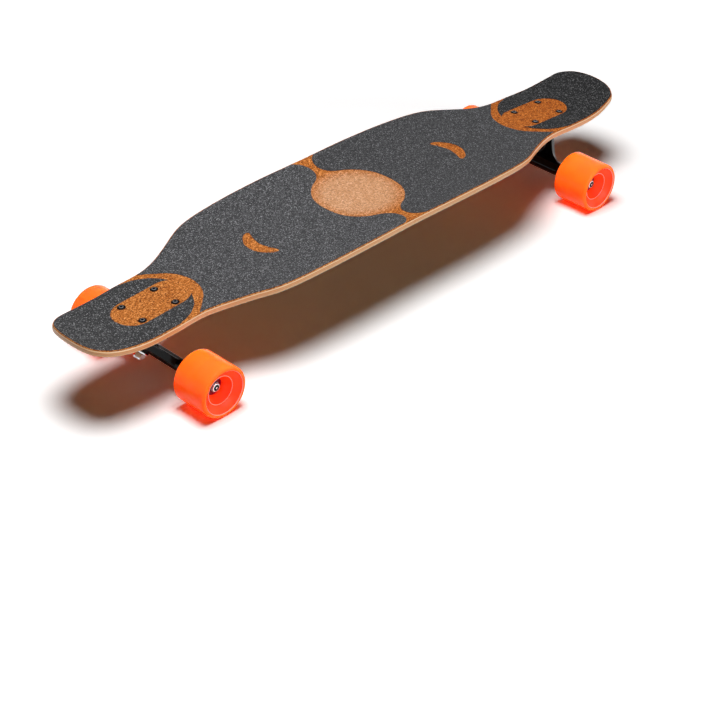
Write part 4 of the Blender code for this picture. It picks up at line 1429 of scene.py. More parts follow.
@dataclass
class Truck:
    """One reverse-kingpin truck; its frames put each piece in its place on the board."""

    end: End
    wheelbase: float = 0.730
    mount_x: float = 0.3715
    underside: float = 0.0981
    slope: float = 0.055
    steer_angle: float = math.radians(50.0)
    wheel_radius: float = 0.036
    gap: float = 0.0003
    bolts: Point = (0.0538, 0.0413)
    bolt_head: float = 0.0056
    bolt_seat: float = 0.0105
    """Height of the deck bolts' faces, and of the deck's top, in the mount's frame."""
    hanger_half: float = 0.0855
    axle_radius: float = 0.0039
    axle_half: float = 0.1178
    thread_pitch: float = 0.0010
    thread_turns: int = 9
    kingpin_reach: float = 0.022
    kingpin_radius: float = 0.0047
    bushing_radius: float = 0.0118
    washer_radius: float = 0.0130
    washer_height: float = 0.0016
    board_seat: float = 0.0195
    road_washer: float = 0.0112
    seat_web: float = 0.004
    flange: float = 0.0055
    bearing_start: float = 0.0865
    bearing_end: float = 0.1100
    voxel: float = 0.0008
    """Size of the faces of a casting."""

    @property
    def mount(self) -> Matrix:
        """The frame of the truck's mount: +X outboard, +Z up."""
        sign = self.end.value
        return (Matrix.Translation((sign * self.mount_x, 0.0, self.underside))
                @ quarter("Z", 1 - sign) @ Matrix.Rotation(math.atan(self.slope), 4, "Y"))

    @property
    def steer_in_mount(self) -> Matrix:
        """Work out the steering frame as the mount's frame sees it.

        Returns:
            A frame at axle height on the steering axis, with +Z to the pivot.
        """
        nose = Truck(End.NOSE)
        axle = nose.mount.inverted() @ Vector((self.wheelbase / 2, 0.0, self.wheel_radius))
        return Matrix.Translation(axle) @ Matrix.Rotation(
            math.pi / 2 - self.steer_angle, 4, "Y")

    @property
    def steer(self) -> Matrix:
        """The hanger's frame: +Y along the axle, +Z to the pivot, +X to the road side."""
        return self.mount @ self.steer_in_mount

    @property
    def pin(self) -> Matrix:
        """The kingpin's frame: +Z to the road side."""
        return self.steer @ self.across

    @property
    def across(self) -> Matrix:
        """In the hanger's frame: the kingpin's place."""
        return Matrix.Translation((0.0, 0.0, self.kingpin_reach)) @ quarter("Y")

    def bolt_places(self) -> list[Point]:
        """Return the four bolts' places in the mount's frame."""
        along, across = self.bolts
        return [(i * along / 2, k * across / 2) for i in (1, -1) for k in (1, -1)]

    def seat_point(self, reach: float, depth: float) -> Point:
        """Return a point of the side view, by reach up the steering axis and depth."""
        point = self.steer_in_mount @ Vector((-depth, 0.0, reach))
        return (point.x, point.z)

    def threads(self, start: float, radius: float, depth: float) -> list[Point]:
        """Run a thread's zigzag down a rod.

        Args:
            start: Height of the first crest.
            radius: Radius of the crests.
            depth: How deep the grooves are.

        Returns:
            The zigzag's part of the rod's profile.
        """
        zigzag = []
        for k in range(self.thread_turns):
            crest = start - k * self.thread_pitch
            zigzag += [(radius, crest), (radius - depth, crest - self.thread_pitch / 2)]
        return zigzag

    def hanger(self) -> bpy.types.Object:
        """Cast the hanger.

        Returns:
            Bar, yoke, bushing ring and pivot nose in one, with the bushings' seats, the
            pin's hole, the window and the axle's bore, in the hanger's frame.
        """
        to_axle, upright, half = quarter("X", -1), quarter("Y", -1), self.hanger_half
        section = [
            (0.0, half), (0.0078, half), (0.0082, half - 0.0045), (0.0093, half - 0.0055),
            (0.0098, 0.070), (0.0102, 0.050)]
        section += [(radius, -height) for radius, height in reversed(section)]
        bar = moved(turned("hanger", section, 64, closed=False), to_axle)
        facets = prism("facets", [
            (-0.0088, -0.2), (0.0088, -0.2), (0.0088, 0.2), (-0.0088, 0.2)], -0.02, 0.02)
        bar = combine(bar, Merge.COMMON, facets)
        outline = smooth_path([
            (-0.0085, 0.000), (-0.0085, 0.036), (-0.0060, 0.062), (0.0000, 0.068),
            (0.0060, 0.062), (0.0100, 0.048), (0.0170, 0.0350), (0.0280, 0.0258),
            (0.0400, 0.0175), (0.0490, 0.0105), (0.0512, 0.0060), (0.0512, 0.000)], 0.003)
        yoke = moved(prism("yoke", mirrored(outline), -0.0055, 0.0055), upright)
        nose = turned("nose", [
            (0.0, 0.0628), (0.0030, 0.0620), (0.0046, 0.0606), (0.0056, 0.0582),
            (0.0058, 0.0560), (0.0070, 0.0460), (0.0, 0.0460)], 48, closed=False)
        ring = moved(plug("ring", 0.0162, -0.0080, 0.0, 64), self.across)
        seat, hole = self.bushing_radius + 0.0006, self.kingpin_radius + 0.0023
        cuts = [moved(plug(name, radius, low, high, 64), self.across)
                for name, radius, low, high in (
                    ("road_seat", seat, self.seat_web, 0.02),
                    ("board_seat", seat, -0.02, -self.seat_web),
                    ("pin_hole", hole, -0.02, 0.02))]
        window = moved(prism("window", [
            (0.0375, 0.0062), (0.0470, 0.0012), (0.0470, -0.0012), (0.0375, -0.0062)],
            -0.02, 0.02), upright)
        bore = moved(plug("bore", self.axle_radius + 0.0002, -0.1, 0.1, 32), to_axle)
        body = combine(bar, Merge.JOIN, yoke, ring, nose)
        return softened(combine(body, Merge.CUT, *cuts, window, bore), self.voxel, 5)

    def baseplate(self) -> bpy.types.Object:
        """Cast the baseplate.

        Returns:
            Flange, walls, kingpin boss and pivot housing in one, with room for the pin and
            its head, the pivot cup and the deck's nuts, in the mount's frame.
        """
        top, bottom = -0.0001, -self.gap - self.flange
        root, reach = -self.gap - 0.5 * self.flange, self.kingpin_reach
        flange = prism("baseplate", mirrored(
            arc((0.0195, 0.0), 0.0275, 0.0, 90.0, 24)
            + arc((-0.036, 0.0225), 0.005, 90.0, 180.0, 8)), bottom, top)
        boss = side_prism("boss", [
            (-0.0340, root), (-0.0290, -0.0200), (-0.0220, -0.0330),
            self.seat_point(reach - 0.0140, self.board_seat),
            self.seat_point(reach + 0.0140, self.board_seat),
            (0.0120, -0.0130), (0.0220, root)], 0.0150)
        walls = side_prism("walls", [
            (-0.0260, root), (-0.0200, -0.0200), (-0.0110, -0.0280), (-0.0040, -0.0280),
            (0.0060, -0.0185), (0.0240, -0.0130), (0.0380, root)], 0.0205)
        valley = side_prism("valley", [
            (0.0040, -0.0373), (0.0300, -0.0373), (0.0300, -0.0073), (0.0040, -0.0073)],
            0.0135)
        walls = combine(walls, Merge.CUT, valley)
        housing = side_prism("housing", [
            (0.0190, root), self.seat_point(0.0520, 0.0115), self.seat_point(0.0520, -0.0115),
            (0.0455, -0.0225), (0.0465, root)], 0.0121)
        pin = self.steer_in_mount @ self.across
        cuts = [moved(plug(name, radius, low, high, 48), place)
                for name, radius, low, high, place in (
                    ("head_room", 0.0098, -0.0900, -0.0275, pin),
                    ("pin_hole", self.kingpin_radius + self.gap, -0.0400, 0.0, pin),
                    ("cup_hole", 0.0084, 0.0400, 0.0650, self.steer_in_mount))]
        for along, across in self.bolt_places():
            room = turned("nut_room", [
                (0.0, 0.01), (0.0026, 0.01), (0.0026, bottom + self.gap),
                (0.0062, bottom + self.gap), (0.0062, -0.05), (0.0, -0.05)], 40, closed=False)
            cuts.append(moved(room, Matrix.Translation((along, across, 0.0))))
        plate = combine(flange, Merge.JOIN, walls, boss, housing)
        return softened(combine(plate, Merge.CUT, *cuts), self.voxel, 4)

    def kingpin(self) -> bpy.types.Object:
        """Turn the kingpin.

        Returns:
            The pin in its own frame, with threads at its road end and a head at the other.
        """
        top, radius, neck = self.road_washer + 0.0106, self.kingpin_radius, -0.0278
        return turned("kingpin", [(0.0, top), (radius - 0.0008, top)] + self.threads(
            top - 0.0008, radius, 0.0004) + [
            (radius, top - 0.0100), (radius, neck), (0.0082, neck), (0.0088, neck - 0.0006),
            (0.0088, -0.0339), (0.0080, -0.0345), (0.0, -0.0345)], 64, closed=False)

    def axle(self) -> bpy.types.Object:
        """Turn the axle.

        Returns:
            The axle in the hanger's frame: bright steel (index 0), with dark bevels and
            threads (index 1) at its ends.
        """
        half, face, bevel, dark = self.axle_half, 0.0015, 0.0016, 0.009
        end = half - bevel
        upper = [(0.0, half), (face, half)] + self.threads(end, self.axle_radius, 0.00035)
        axle = turned("axle", upper + [(radius, -height) for radius, height in reversed(upper)],
                      48, closed=False)
        indexed(axle, lambda reach, part: int(
            abs(part.center.z) > end - dark and reach > face))
        return moved(axle, quarter("X", -1))

    def bushing(self, name: str, low: float, high: float,
                small_end: float) -> bpy.types.Object:
        """Turn a urethane bushing.

        Args:
            name: The new object's name.
            low: Height of its wide end.
            high: Height of its other end.
            small_end: Radius there.

        Returns:
            A bushing with rounded rims and a slight waist.
        """
        wide, bore, count = self.bushing_radius, self.kingpin_radius + self.gap, 12
        sides = []
        for k in range(count + 1):
            share = k / count
            rim = 0.0010 * (abs(2 * share - 1)**10)
            waist = 0.0005 * math.sin(math.pi * share)
            sides.append((small_end + (wide - small_end) * share - rim - waist,
                          high + (low - high) * share))
        return turned(name, sides + [(bore, low), (bore, high)], 64)

    def cup_washer(self, low: float, rim_up: bool) -> bpy.types.Object:
        """Press a cup washer.

        Args:
            low: Height of its flat side.
            rim_up: Whether its rim turns up from there, or else down.

        Returns:
            The washer in the kingpin's frame.
        """
        bore, edge = self.kingpin_radius + self.gap, self.washer_radius
        washer = turned("washer", [
            (edge - 0.0002, 0.0022), (edge, 0.0020), (edge, 0.0008), (edge - 0.0003, 0.0003),
            (edge - 0.0010, 0.0), (bore, 0.0), (bore, 0.0015), (edge - 0.0022, 0.0015),
            (edge - 0.0014, 0.0018), (edge - 0.0010, 0.0022)], 72)
        if not rim_up:
            moved(washer, quarter("X", 2))
        return moved(washer, Matrix.Translation((0.0, 0.0, low)))

    def bolt(self) -> bpy.types.Object:
        """Turn a countersunk deck bolt.

        Returns:
            The bolt with its hexagonal socket, its face at z = 0.
        """
        head, shank, foot = self.bolt_head, 0.0023, -0.0270
        bolt = turned("bolt", [
            (0.0, 0.0013), (0.0020, 0.00125), (0.0029, 0.0011), (0.0032, 0.0008),
            (0.0034, 0.0002), (0.0037, -0.0005), (head - 0.0003, -0.0008), (head, -0.0010),
            (head - 0.0001, -0.0012), (shank, -0.0038), (shank, -0.0265), (0.0018, foot),
            (0.0, foot)], 40, closed=False)
        socket = prism("socket", arc((0.0, 0.0), 0.0021, 0.0, 300.0, 5), -0.0024, 0.002)
        return combine(bolt, Merge.CUT, socket)

    def speed_washers(self) -> bpy.types.Object:
        """Set out the four thin washers beside the truck's bearings.

        Returns:
            The four in one mesh, in the hanger's frame.
        """
        bore, rim, half = 0.0041, 0.0060, 0.00035
        parts = []
        for side in Side:
            for place in (self.hanger_half + 0.0005, self.bearing_end + 0.00045):
                ring = turned("speed_washer", [
                    (rim, half), (rim, -half), (bore, -half), (bore, half)], 40)
                parts.append(moved(ring, Matrix.Translation(
                    (0.0, side.value * place, 0.0)) @ quarter("X")))
        return combine(parts[0], Merge.JOIN, *parts[1:])

    def build(self, finishes: Finishes) -> None:
        """Build and dress every piece of the truck.

        Args:
            finishes: The materials by name.
        """
        end, hung, gap = self.end.label, "hanger_" + self.end.label, self.gap

        def put(obj: bpy.types.Object, title: str, place: Matrix, body: str, slot: str,
                nodes: Sequence[str], *finish: str) -> bpy.types.Object:
            """Name a piece for this end, move it to its place and dress it.

            Args:
                obj: The piece, in a frame of its own.
                title: Its name without the end.
                place: That frame.
                body: The body that it rides on, or an empty name for none.
                slot: The record's material slot.
                nodes: The frame's nodes that it stands for.
                finish: The names of its finishes, in the order of its faces' indices.

            Returns:
                The piece.
            """
            obj.name = obj.data.name = title + "_" + end
            return dressed(moved(obj, place), body, slot, nodes,
                           *[finishes[key] for key in finish])

        put(self.baseplate(), "truck_base", self.mount, "deck", "truck_black",
            ["baseplate_" + end], "enamel")
        put(self.hanger(), "truck_hanger", self.steer, hung, "truck_black",
            ["hanger_" + end], "enamel")
        put(self.axle(), "axle_rod", self.steer, hung, "steel", ["axle_" + end], "nut_rim",
            "dark_oxide_and_shade")
        put(self.speed_washers(), "speed_washers", self.steer, hung, "steel", [], "steel")
        put(self.kingpin(), "kingpin_bolt", self.pin, "deck", "chrome",
            ["kingpin_" + end], "chrome")
        put(hex_nut("nut", 0.0142, self.kingpin_radius + gap, 0.0060, 0.0018),
            "kingpin_lock_nut", self.pin @ Matrix.Translation(
                (0.0, 0.0, self.road_washer + self.washer_height + 2 * gap)),
            "deck", "chrome", ["kingpin_nut_" + end], "chrome", "nylon", "chrome")
        put(self.cup_washer(-self.board_seat + gap, rim_up=True), "cup_washer_board",
            self.pin, "deck", "chrome", ["washer_board_side_" + end], "chrome")
        put(self.cup_washer(self.road_washer + self.washer_height, rim_up=False),
            "cup_washer_road", self.pin, "deck", "chrome", ["washer_road_side_" + end],
            "chrome")
        put(turned("cup", [
            (0.0, 0.0647), (0.0070, 0.0647), (0.0082, 0.0637), (0.0082, 0.0530),
            (0.0078, 0.0525), (0.0075, 0.0530), (0.0075, 0.0560), (0.0061, 0.0600),
            (0.0035, 0.0634), (0.0, 0.0634)], 64, closed=False), "pivot_bush", self.steer,
            "deck", "pivot_plastic", ["pivot_cup_" + end], "nylon")
        board = put(self.bushing("bushing", -self.board_seat + self.washer_height + 2 * gap,
                                 -self.seat_web - gap, self.bushing_radius),
                    "bushing_board", self.pin, "", "bushing_urethane",
                    ["bushing_board_side_" + end], "bushing")
        road = put(self.bushing("bushing", self.seat_web + gap, self.road_washer - gap,
                                0.0098),
                   "bushing_road", self.pin, "", "bushing_urethane",
                   ["bushing_road_side_" + end], "bushing")
        # Each bushing sits between its washer and its seat on the hanger; its place is baked
        # into its mesh.
        for piece, held, bent in ((board, -self.board_seat, -self.seat_web),
                                  (road, self.road_washer, self.seat_web)):
            self.pin @ Vector((0.0, 0.0, held))
            self.pin @ Vector((0.0, 0.0, bent))
            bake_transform(piece)
        pattern = BoltPattern(*self.bolts)
        corners = ["%s_%s_%s" % (end, row, side.label)
                   for row in ("inboard", "outboard") for side in Side]
        # Each head's crown is grey; its rim, flanks and socket are near black, painted shade in
        # the countersunk hole.
        bolts = indexed(pattern.build("bolts", self.bolt(), finishes["oxide"]),
                        lambda _, face: int(face.center.z < 0.0007))
        put(bolts, "deck_bolts", self.mount @ Matrix.Translation((0.0, 0.0, self.bolt_seat)),
            "deck", "black_oxide", ["bolt_" + corner for corner in corners], "oxide",
            "dark_oxide_and_shade")
        nut = moved(hex_nut("nut", 0.0080, 0.0026, 0.0034, 0.0012), quarter("X", 2))
        put(pattern.build("nuts", nut, finishes["oxide"]), "deck_nuts",
            self.mount @ Matrix.Translation((0.0, 0.0, -gap - self.flange)), "deck",
            "black_oxide", ["bolt_nut_" + corner for corner in corners], "dark_oxide_and_shade")


# Wheels


@dataclass
class Wheel:
    """One wheel with its core and bearings, and the nut that holds it."""

    truck: Truck
    side: Side
    width: float = 0.058
    centre: float = 0.104
    radius: float = 0.036
    core_radius: float = 0.0170
    rib_count: int = 12
    rib_ring: float = 0.0149

    @property
    def label(self) -> str:
        """The wheel's words in the names of nodes and bodies."""
        return self.truck.end.label + "_" + self.side.label

    @property
    def spin(self) -> Matrix:
        """The wheel's frame: +Z along the axle, out of the board."""
        return Matrix.Translation((
            self.truck.end.value * self.truck.wheelbase / 2, self.side.value * self.centre,
            self.radius)) @ quarter("X", -self.side.value)

    @property
    def bearing_ends(self) -> Point:
        """The bearings' inner and outer end in the wheel's frame."""
        return (self.truck.bearing_start - self.centre, self.truck.bearing_end - self.centre)

    def tyre(self) -> bpy.types.Object:
        """Turn the tyre: round lips, parting line, and a stepped dish on each face.

        Returns:
            The tyre in the wheel's frame: tread (index 0), faces and dishes (index 1) and
            the two plain rings on the outer face (index 2).
        """
        half, radius, face_rim = self.width / 2, self.radius, 0.0312
        bore = self.core_radius + 0.0003
        core_end = self.bearing_ends[1] + 0.0012
        outer = arc((radius - 0.0036, half - 0.0036), 0.0036, 90.0, 0.0, 12)
        inner = arc((radius - 0.0034, 0.0034 - half), 0.0034, 0.0, -90.0, 10)
        line = [(radius, 0.0006), (radius - 0.00009, 0.0), (radius, -0.0006)]
        back = [(radius - 0.0062, -half), (radius - 0.0068, 0.0003 - half),
                (0.0250, 0.0066 - half), (0.0215, 0.0096 - half), (0.0196, 0.0104 - half),
                (bore, 0.0125 - half)]
        front = [(bore, core_end - 0.0039), (0.0138, core_end + 0.0003),
                 (0.0124, core_end + 0.0006), (0.0122, core_end + 0.0009),
                 (0.0126, core_end + 0.0022), (0.0150, 0.0135), (0.0176, half - 0.0120),
                 (0.0187, half - 0.0096), (0.0190, half - 0.0088), (0.0195, half - 0.0083),
                 (0.0201, half - 0.0083), (0.0207, half - 0.0088), (0.0214, half - 0.0088),
                 (0.0250, half - 0.0062), (0.0284, half - 0.0034), (0.0296, half - 0.0020),
                 (0.0302, half - 0.0008), (0.0307, half - 0.0002), (face_rim, half)]
        # The two rings take a pale copy of the urethane: painted highlights.
        rings = ((0.0195, 0.0203), (0.0303, 0.0307))

        # Index 1 is a darker, redder copy of the urethane on the faces and dishes: painted
        # shade.
        def choose(reach: float, part: bpy.types.MeshPolygon) -> int:
            """Return 2 on the rings, 1 on the faces and dishes and 0 on the tread."""
            if part.center.z > 0.0 and any(low < reach < high for low, high in rings):
                return 2
            return int(reach < face_rim)

        return indexed(turned("tyre", outer + line + inner + back + front, 128), choose)

    def core(self) -> bpy.types.Object:
        """Turn the core with its two bearing seats.

        Returns:
            The core in the wheel's frame.
        """
        low, high = self.bearing_ends
        seat, land, hole = 0.0113, 0.0073, 0.0085
        return turned("core", [
            (0.0125, high + 0.0012), (0.0132, high + 0.0009), (0.0140, high - 0.0006),
            (0.0162, high - 0.0024), (self.core_radius, high - 0.0034),
            (self.core_radius, low + 0.0034), (0.0160, low + 0.0018), (0.0138, low - 0.0006),
            (0.0130, low - 0.0012), (seat, low - 0.0012), (seat, low + land),
            (hole, low + land), (hole, high - land), (seat, high - land),
            (seat, high + 0.0012)], 96)

    def ribs(self, finish: bpy.types.Material) -> bpy.types.Object:
        """Stand ribs round the core's shoulder on the board's side.

        Args:
            finish: Their material.

        Returns:
            The ribs in one mesh, in the wheel's frame.
        """
        low = self.bearing_ends[0]
        rib = side_prism("rib", [
            (-0.0014, low + 0.0034), (0.0019, low + 0.0034), (0.0017, low + 0.0012),
            (0.0001, low - 0.0006), (-0.0012, low - 0.0007), (-0.0016, low + 0.0016)],
            0.0005)
        return RibRing(self.rib_count, self.rib_ring).build("ribs", rib, finish)

    def bearings(self) -> bpy.types.Object:
        """Turn both bearings and the spacer.

        Returns:
            The three in one mesh, in the wheel's frame: steel races (index 0) and shields
            (index 1).
        """
        low, high = self.bearing_ends
        bore, outer, width, spacer, edge = 0.0042, 0.0110, 0.0070, 0.0060, 0.0004

        def face(z: float, out: int) -> list[Point]:
            """Return a face's profile, its shield sunk between the races.

            Args:
                z: Height of the races' face.
                out: Which way is out, 1 or -1.

            Returns:
                The profile from the inner race to the outer.
            """
            sunk = z - out * 0.0004
            return [(0.0061, z), (0.0061, sunk), (0.0063, sunk), (0.0092, sunk),
                    (0.0094, sunk), (0.0094, z)]

        profile = [(outer - edge, high), (outer, high - edge), (outer, high - width),
                   (spacer, high - width), (spacer, low + width), (outer, low + width),
                   (outer, low + edge), (outer - edge, low)]
        profile += list(reversed(face(low, -1))) + [(bore + 0.0003, low), (bore, low + 0.0003)]
        profile += [(bore, high - 0.0003), (bore + 0.0003, high)] + face(high, 1)
        return indexed(turned("bearings", profile, 72),
                       lambda reach, part: int(reach > 0.0062 and abs(part.normal.z) > 0.9))

    def build(self, finishes: Finishes) -> None:
        """Build and dress the wheel, and the nut that holds it.

        Args:
            finishes: The materials by name.
        """
        name, body, truck = self.label, "wheel_" + self.label, self.truck
        for obj, title, slot, nodes, dress in (
                (self.tyre(), "wheel_tyre", "wheel_urethane", ["tyre_" + name],
                 ("urethane", "urethane_face", "urethane_edge")),
                (self.core(), "wheel_hub", "core_plastic", ["wheel_core_" + name], ("core",)),
                (self.ribs(finishes["core"]), "hub_ribs", "core_plastic", [], ("core",)),
                (self.bearings(), "bearing_pair", "steel", ["bearings_" + name],
                 ("steel", "shield"))):
            obj.name = obj.data.name = title + "_" + name
            dressed(moved(obj, self.spin), body, slot, nodes, *[finishes[d] for d in dress])
        nut = hex_nut("axle_lock_nut_" + name, 0.0127, truck.axle_radius + truck.gap, 0.0048,
                      0.0016)
        reach = truck.bearing_end + 3 * truck.gap - self.centre
        place = self.spin @ Matrix.Translation((0.0, 0.0, reach))
        # The hexagon takes a darker copy of the zinc, painted shade, and the collar a bright
        # one, a painted highlight.
        dressed(moved(nut, place), "hanger_" + truck.end.label, "steel",
                ["axle_nut_" + name], finishes["nut"], finishes["nylon"], finishes["nut_rim"])


# Studio


@dataclass(frozen=True)
class Studio:
    """A pale floor, soft light from above and the front, and the photograph's camera."""

    azimuth: float = -45.2256
    elevation: float = 34.6634
    roll: float = 0.4463
    place: tuple[float, float, float] = (-1.6755, -1.6687, 1.4789)
    focal: float = 99.78
    sensor: float = 36.0
    sight_end: float = 50.0
    floor_half: float = 8.0
    floor_tone: Point = (1.4, 2.6)
    """How far over white the floor is seen near and far, as the light falls off."""
    sweep: Point = (0.50, 1.30)
    """Distances over which the floor turns into plain white background."""
    floor_bounce: str = "#B0B0B0"
    """What the floor's bounced light sees of it: an ordinary light grey."""
    lamp_place: tuple[float, float, float] = (-0.28, -0.08, 2.3)
    lamp_width: float = 1.3
    lamp_power: float = 47.0
    panel_place: tuple[float, float, float] = (0.3, -2.6, 0.95)
    panel_size: Point = (2.2, 1.0)
    panel_power: float = 33.0
    fill: float = 0.012

    def direct_sight(self, tree: bpy.types.NodeTree) -> bpy.types.NodeSocket:
        """Tell what is seen, mirrored or looked through from soft bounces.

        Args:
            tree: The node tree of the floor or the room.

        Returns:
            1 for the camera's, mirrors' and clear parts' rays, and 0 for all others.
        """
        ray = add_node(tree, "ShaderNodeLightPath").outputs
        sharp = add_node(tree, "ShaderNodeMath", {
            0: ray["Is Glossy Ray"], 1: ray["Is Transmission Ray"]}, operation="MAXIMUM")
        return add_node(tree, "ShaderNodeMath", {
            0: ray["Is Camera Ray"], 1: sharp.outputs[0]}, operation="MAXIMUM").outputs[0]

    def camera(self) -> None:
        """Put the camera where the photograph was taken from."""
        az, el, roll = (math.radians(a) for a in (self.azimuth, self.elevation, self.roll))
        back = Vector((math.sin(az) * math.cos(el), -math.cos(az) * math.cos(el),
                       math.sin(el)))
        right = (-back).cross(Vector((0.0, 0.0, 1.0))).normalized()
        up = right.cross(-back)
        level = right * math.cos(roll) + up * math.sin(roll)
        upright = -right * math.sin(roll) + up * math.cos(roll)
        data = bpy.data.cameras.new("camera")
        data.lens = self.focal
        data.sensor_width = self.sensor
        data.clip_end = self.sight_end
        camera = new_object("camera", data)
        camera.matrix_world = Matrix.Translation(self.place) @ Matrix(
            (level, upright, back)).transposed().to_4x4()
        bpy.context.scene.camera = camera

    def floor(self) -> bpy.types.Object:
        """Lay the floor: a smooth pale sweep that keeps the board's shadow.

        Returns:
            The floor.
        """
        shape = bmesh.new()
        bmesh.ops.create_grid(shape, x_segments=2, y_segments=2, size=self.floor_half)
        floor = shaped("studio_floor", shape)
        # Matt wall paint: it takes a soft shadow and mirrors nothing.
        material = Finish("painted_studio_floor", self.floor_bounce, 0.8).build()
        tree = material.node_tree
        shader = tree.nodes["Principled BSDF"]
        shader.inputs["Specular IOR Level"].default_value = 0.0
        sight = self.direct_sight(tree)
        away = add_node(tree, "ShaderNodeVectorMath", {
            0: add_node(tree, "ShaderNodeTexCoord").outputs["Object"]}, operation="LENGTH")
        start, end = self.sweep
        tone = add_node(tree, "ShaderNodeMapRange", {
            "Value": away.outputs["Value"], "From Min": start, "From Max": end,
            "To Min": self.floor_tone[0], "To Max": self.floor_tone[1]})
        colour = add_node(tree, "ShaderNodeMix", {
            "Factor": sight, 6: linear(self.floor_bounce), 7: tone.outputs["Result"]},
            data_type="RGBA")
        tree.links.new(colour.outputs[2], shader.inputs["Base Color"])
        far = add_node(tree, "ShaderNodeMapRange", {
            "Value": away.outputs["Value"], "From Min": (start + end) / 2,
            "From Max": end * 1.1, "To Max": sight}, interpolation_type="SMOOTHSTEP")
        white = add_node(tree, "ShaderNodeEmission", {"Color": linear("#FFFFFF")})
        blend = add_node(tree, "ShaderNodeMixShader", {
            0: far.outputs["Result"], 1: shader.outputs[0], 2: white.outputs[0]})
        tree.links.new(blend.outputs[0], tree.nodes["Material Output"].inputs["Surface"])
        floor.data.materials.append(material)
        return floor

    def lamp(self, name: str, shape: str, size: float, power: float) -> bpy.types.Object:
        """Make an area lamp that the camera doesn't see.

        Args:
            name: The lamp's name.
            shape: The lamp's own word for its shape.
            size: Its width in metres.
            power: Its power in watts.

        Returns:
            The lamp at the origin, facing down.
        """
        light = bpy.data.lights.new(name, "AREA")
        light.shape = shape
        light.size = size
        light.energy = power
        lamp = new_object(name, light)
        lamp.visible_camera = False
        return lamp

    def panel(self, floor: bpy.types.Object) -> None:
        """Stand a weak broad panel in front, which lights the board and not the floor.

        Args:
            floor: The floor, left out so that the board's shadow stays deep.
        """
        width, height = self.panel_size
        lamp = self.lamp("front_panel", "RECTANGLE", width, self.panel_power)
        lamp.data.size_y = height
        place = Vector(self.panel_place)
        lamp.matrix_world = Matrix.Translation(place) @ (
            -place).to_track_quat("-Z", "Y").to_matrix().to_4x4()
        unlit = bpy.data.collections.new("unlit_by_front_panel")
        unlit.objects.link(floor)
        lamp.light_linking.receiver_collection = unlit
        unlit.collection_objects[0].light_linking.link_state = "EXCLUDE"

    def light(self) -> None:
        """Hang one broad soft light above and fill the room with a weak pale glow."""
        softbox = self.lamp("overhead_softbox", "DISK", self.lamp_width, self.lamp_power)
        softbox.location = self.lamp_place
        world = bpy.data.worlds.new("studio_room")
        bpy.context.scene.world = world
        world.use_nodes = True
        tree = world.node_tree
        room = tree.nodes["Background"]
        room.inputs["Color"].default_value = linear("#FFFFFF")
        room.inputs["Strength"].default_value = self.fill
        seen = add_node(tree, "ShaderNodeBackground", {
            "Color": linear("#FFFFFF"), "Strength": 1.0})
        mix = add_node(tree, "ShaderNodeMixShader", {
            0: self.direct_sight(tree), 1: room.outputs[0], 2: seen.outputs[0]})
        tree.links.new(mix.outputs[0], tree.nodes["World Output"].inputs["Surface"])

    def build(self) -> None:
        """Set up the whole studio."""
        self.camera()
        self.panel(self.floor())
        self.light()
        bpy.context.scene.view_settings.view_transform = "Standard"


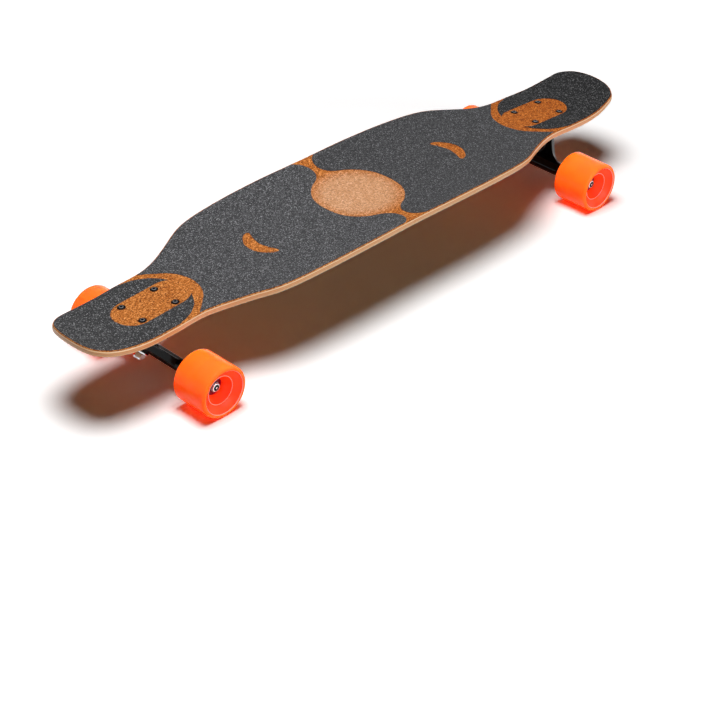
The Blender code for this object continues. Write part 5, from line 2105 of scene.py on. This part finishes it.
def make_finishes() -> Finishes:
    """Build every material once.

    Returns:
        The materials by the name that the assemblies use.
    """
    finishes = {
        # Grit glued on paper, with painted glints. The two large sheets are charcoal in two
        # tones, the front one darker by painted shade; the end pieces have brighter painted
        # glints on a ground darkened by painted shade, most at the nose.
        "grip_rear_sheet": GripTape("rear_grip_tape", "#333335", 0.80),
        "grip_front_sheet": GripTape("front_grip_tape", "#333335", 0.80, tone="#DADADA"),
        "grip_tail_piece": GripTape(
            "tail_grip_tape", "#333335", 0.80, tone="#B2B2B2",
            painted_glints=("#88888B", "#E0E0E2"), grain=1.1 * MM),
        "grip_nose_piece": GripTape(
            "nose_grip_tape", "#1E1E20", 0.80, tone="#767676",
            painted_glints=("#B4B4B8", "#FFFFFF"), grain=1.1 * MM, sheen=0.20),
        # Ground cork, pressed and sealed: warm and speckled, paler where it is rubbed, and
        # darker towards the nose by painted shade.
        "cork": CorkGranules("pressed_cork", "#C97A38", 0.78),
        # Bamboo plies, sanded and lacquered: light and dark lines round the deck.
        "edge": BambooEdge("bamboo_laminate_edge", "#E9C08C", 0.38),
        # Bamboo veneer under clear lacquer: honey coloured, with a glossy black print.
        "underside": PrintedBamboo("printed_bamboo_veneer", "#F0B050", 0.34),
        # Stoved enamel: the castings are deep black, with soft long highlights.
        "enamel": Enamel("black_enamel_on_cast_aluminium", "#060607", 0.12),
        # Polished chrome plate: it mirrors the white room and the black truck sharply.
        "chrome": TurnedMetal("polished_chrome", "#DADADC", 0.08),
        # Ground bearing steel: grey, with a soft shine.
        "steel": TurnedMetal("turned_steel", "#7C7C7E", 0.32),
        # Zinc plate on forged steel, in two copies of one finish: a darker one on the nut's
        # hexagon, painted shade, and a bright one on its collar, a painted highlight; the
        # axle's end takes the bright one too.
        "nut": TurnedMetal("zinc_plated_steel", "#77777A", 0.28),
        "nut_rim": TurnedMetal("rolled_zinc_collar", "#D8D8DA", 0.20),
        # Black oxide on steel: near black on the nuts, the axle's threads and the bolts' rims,
        # flanks and sockets, which is painted shade in the countersunk holes; the bolts' crowns
        # are grey.
        "oxide": TurnedMetal("worn_black_oxide", "#646466", 0.34),
        "dark_oxide_and_shade": TurnedMetal("black_oxide_steel", "#101012", 0.55),
        # Moulded nitrile: a dark red ring in each bearing, with hardly any shine.
        "shield": MouldedPlastic("red_nitrile_shield", "#9A1028", 0.45),
        # Moulded nylon: plain black, with a soft highlight.
        "nylon": MouldedPlastic("black_nylon", "#141414", 0.42),
        # Cast urethane, black with dye: no light comes out of it again.
        "bushing": CastUrethane("black_urethane", "#0E0E10", 0.30, weight=0.0),
        # Cast urethane, orange, with a painted red glow of its own; its faces take a redder,
        # darker copy, painted shade, and the rings on them a pale copy, painted highlights.
        "urethane": CastUrethane("orange_urethane", "#FF8A20", 0.20, painted_glow=0.66),
        # The faces' darker, redder copy: painted shade where less light from above reaches.
        "urethane_face": CastUrethane(
            "orange_urethane_face", "#F4602C", 0.20, painted_glow=0.46),
        # The rings' pale copy: painted highlights.
        "urethane_edge": CastUrethane(
            "rubbed_urethane_edge", "#FFDCCC", 0.45, weight=0.3, painted_glow=0.34),
        # Moulded core plastic: a deeper red, which lets in a little light.
        "core": CastUrethane("red_core_plastic", "#C01830", 0.30, weight=0.3),
    }
    return {name: finish.build() for name, finish in finishes.items()}


def main() -> None:
    """Build the studio, the deck, the trucks and the wheels, in that order."""
    logging.basicConfig(level=logging.INFO, format="%(message)s")
    Studio().build()
    finishes = make_finishes()
    trucks = [Truck(end) for end in End]
    Deck(DeckForm()).build(trucks, finishes)
    for truck in trucks:
        truck.build(finishes)
        for side in Side:
            Wheel(truck, side).build(finishes)


if __name__ == "__main__":
    main()
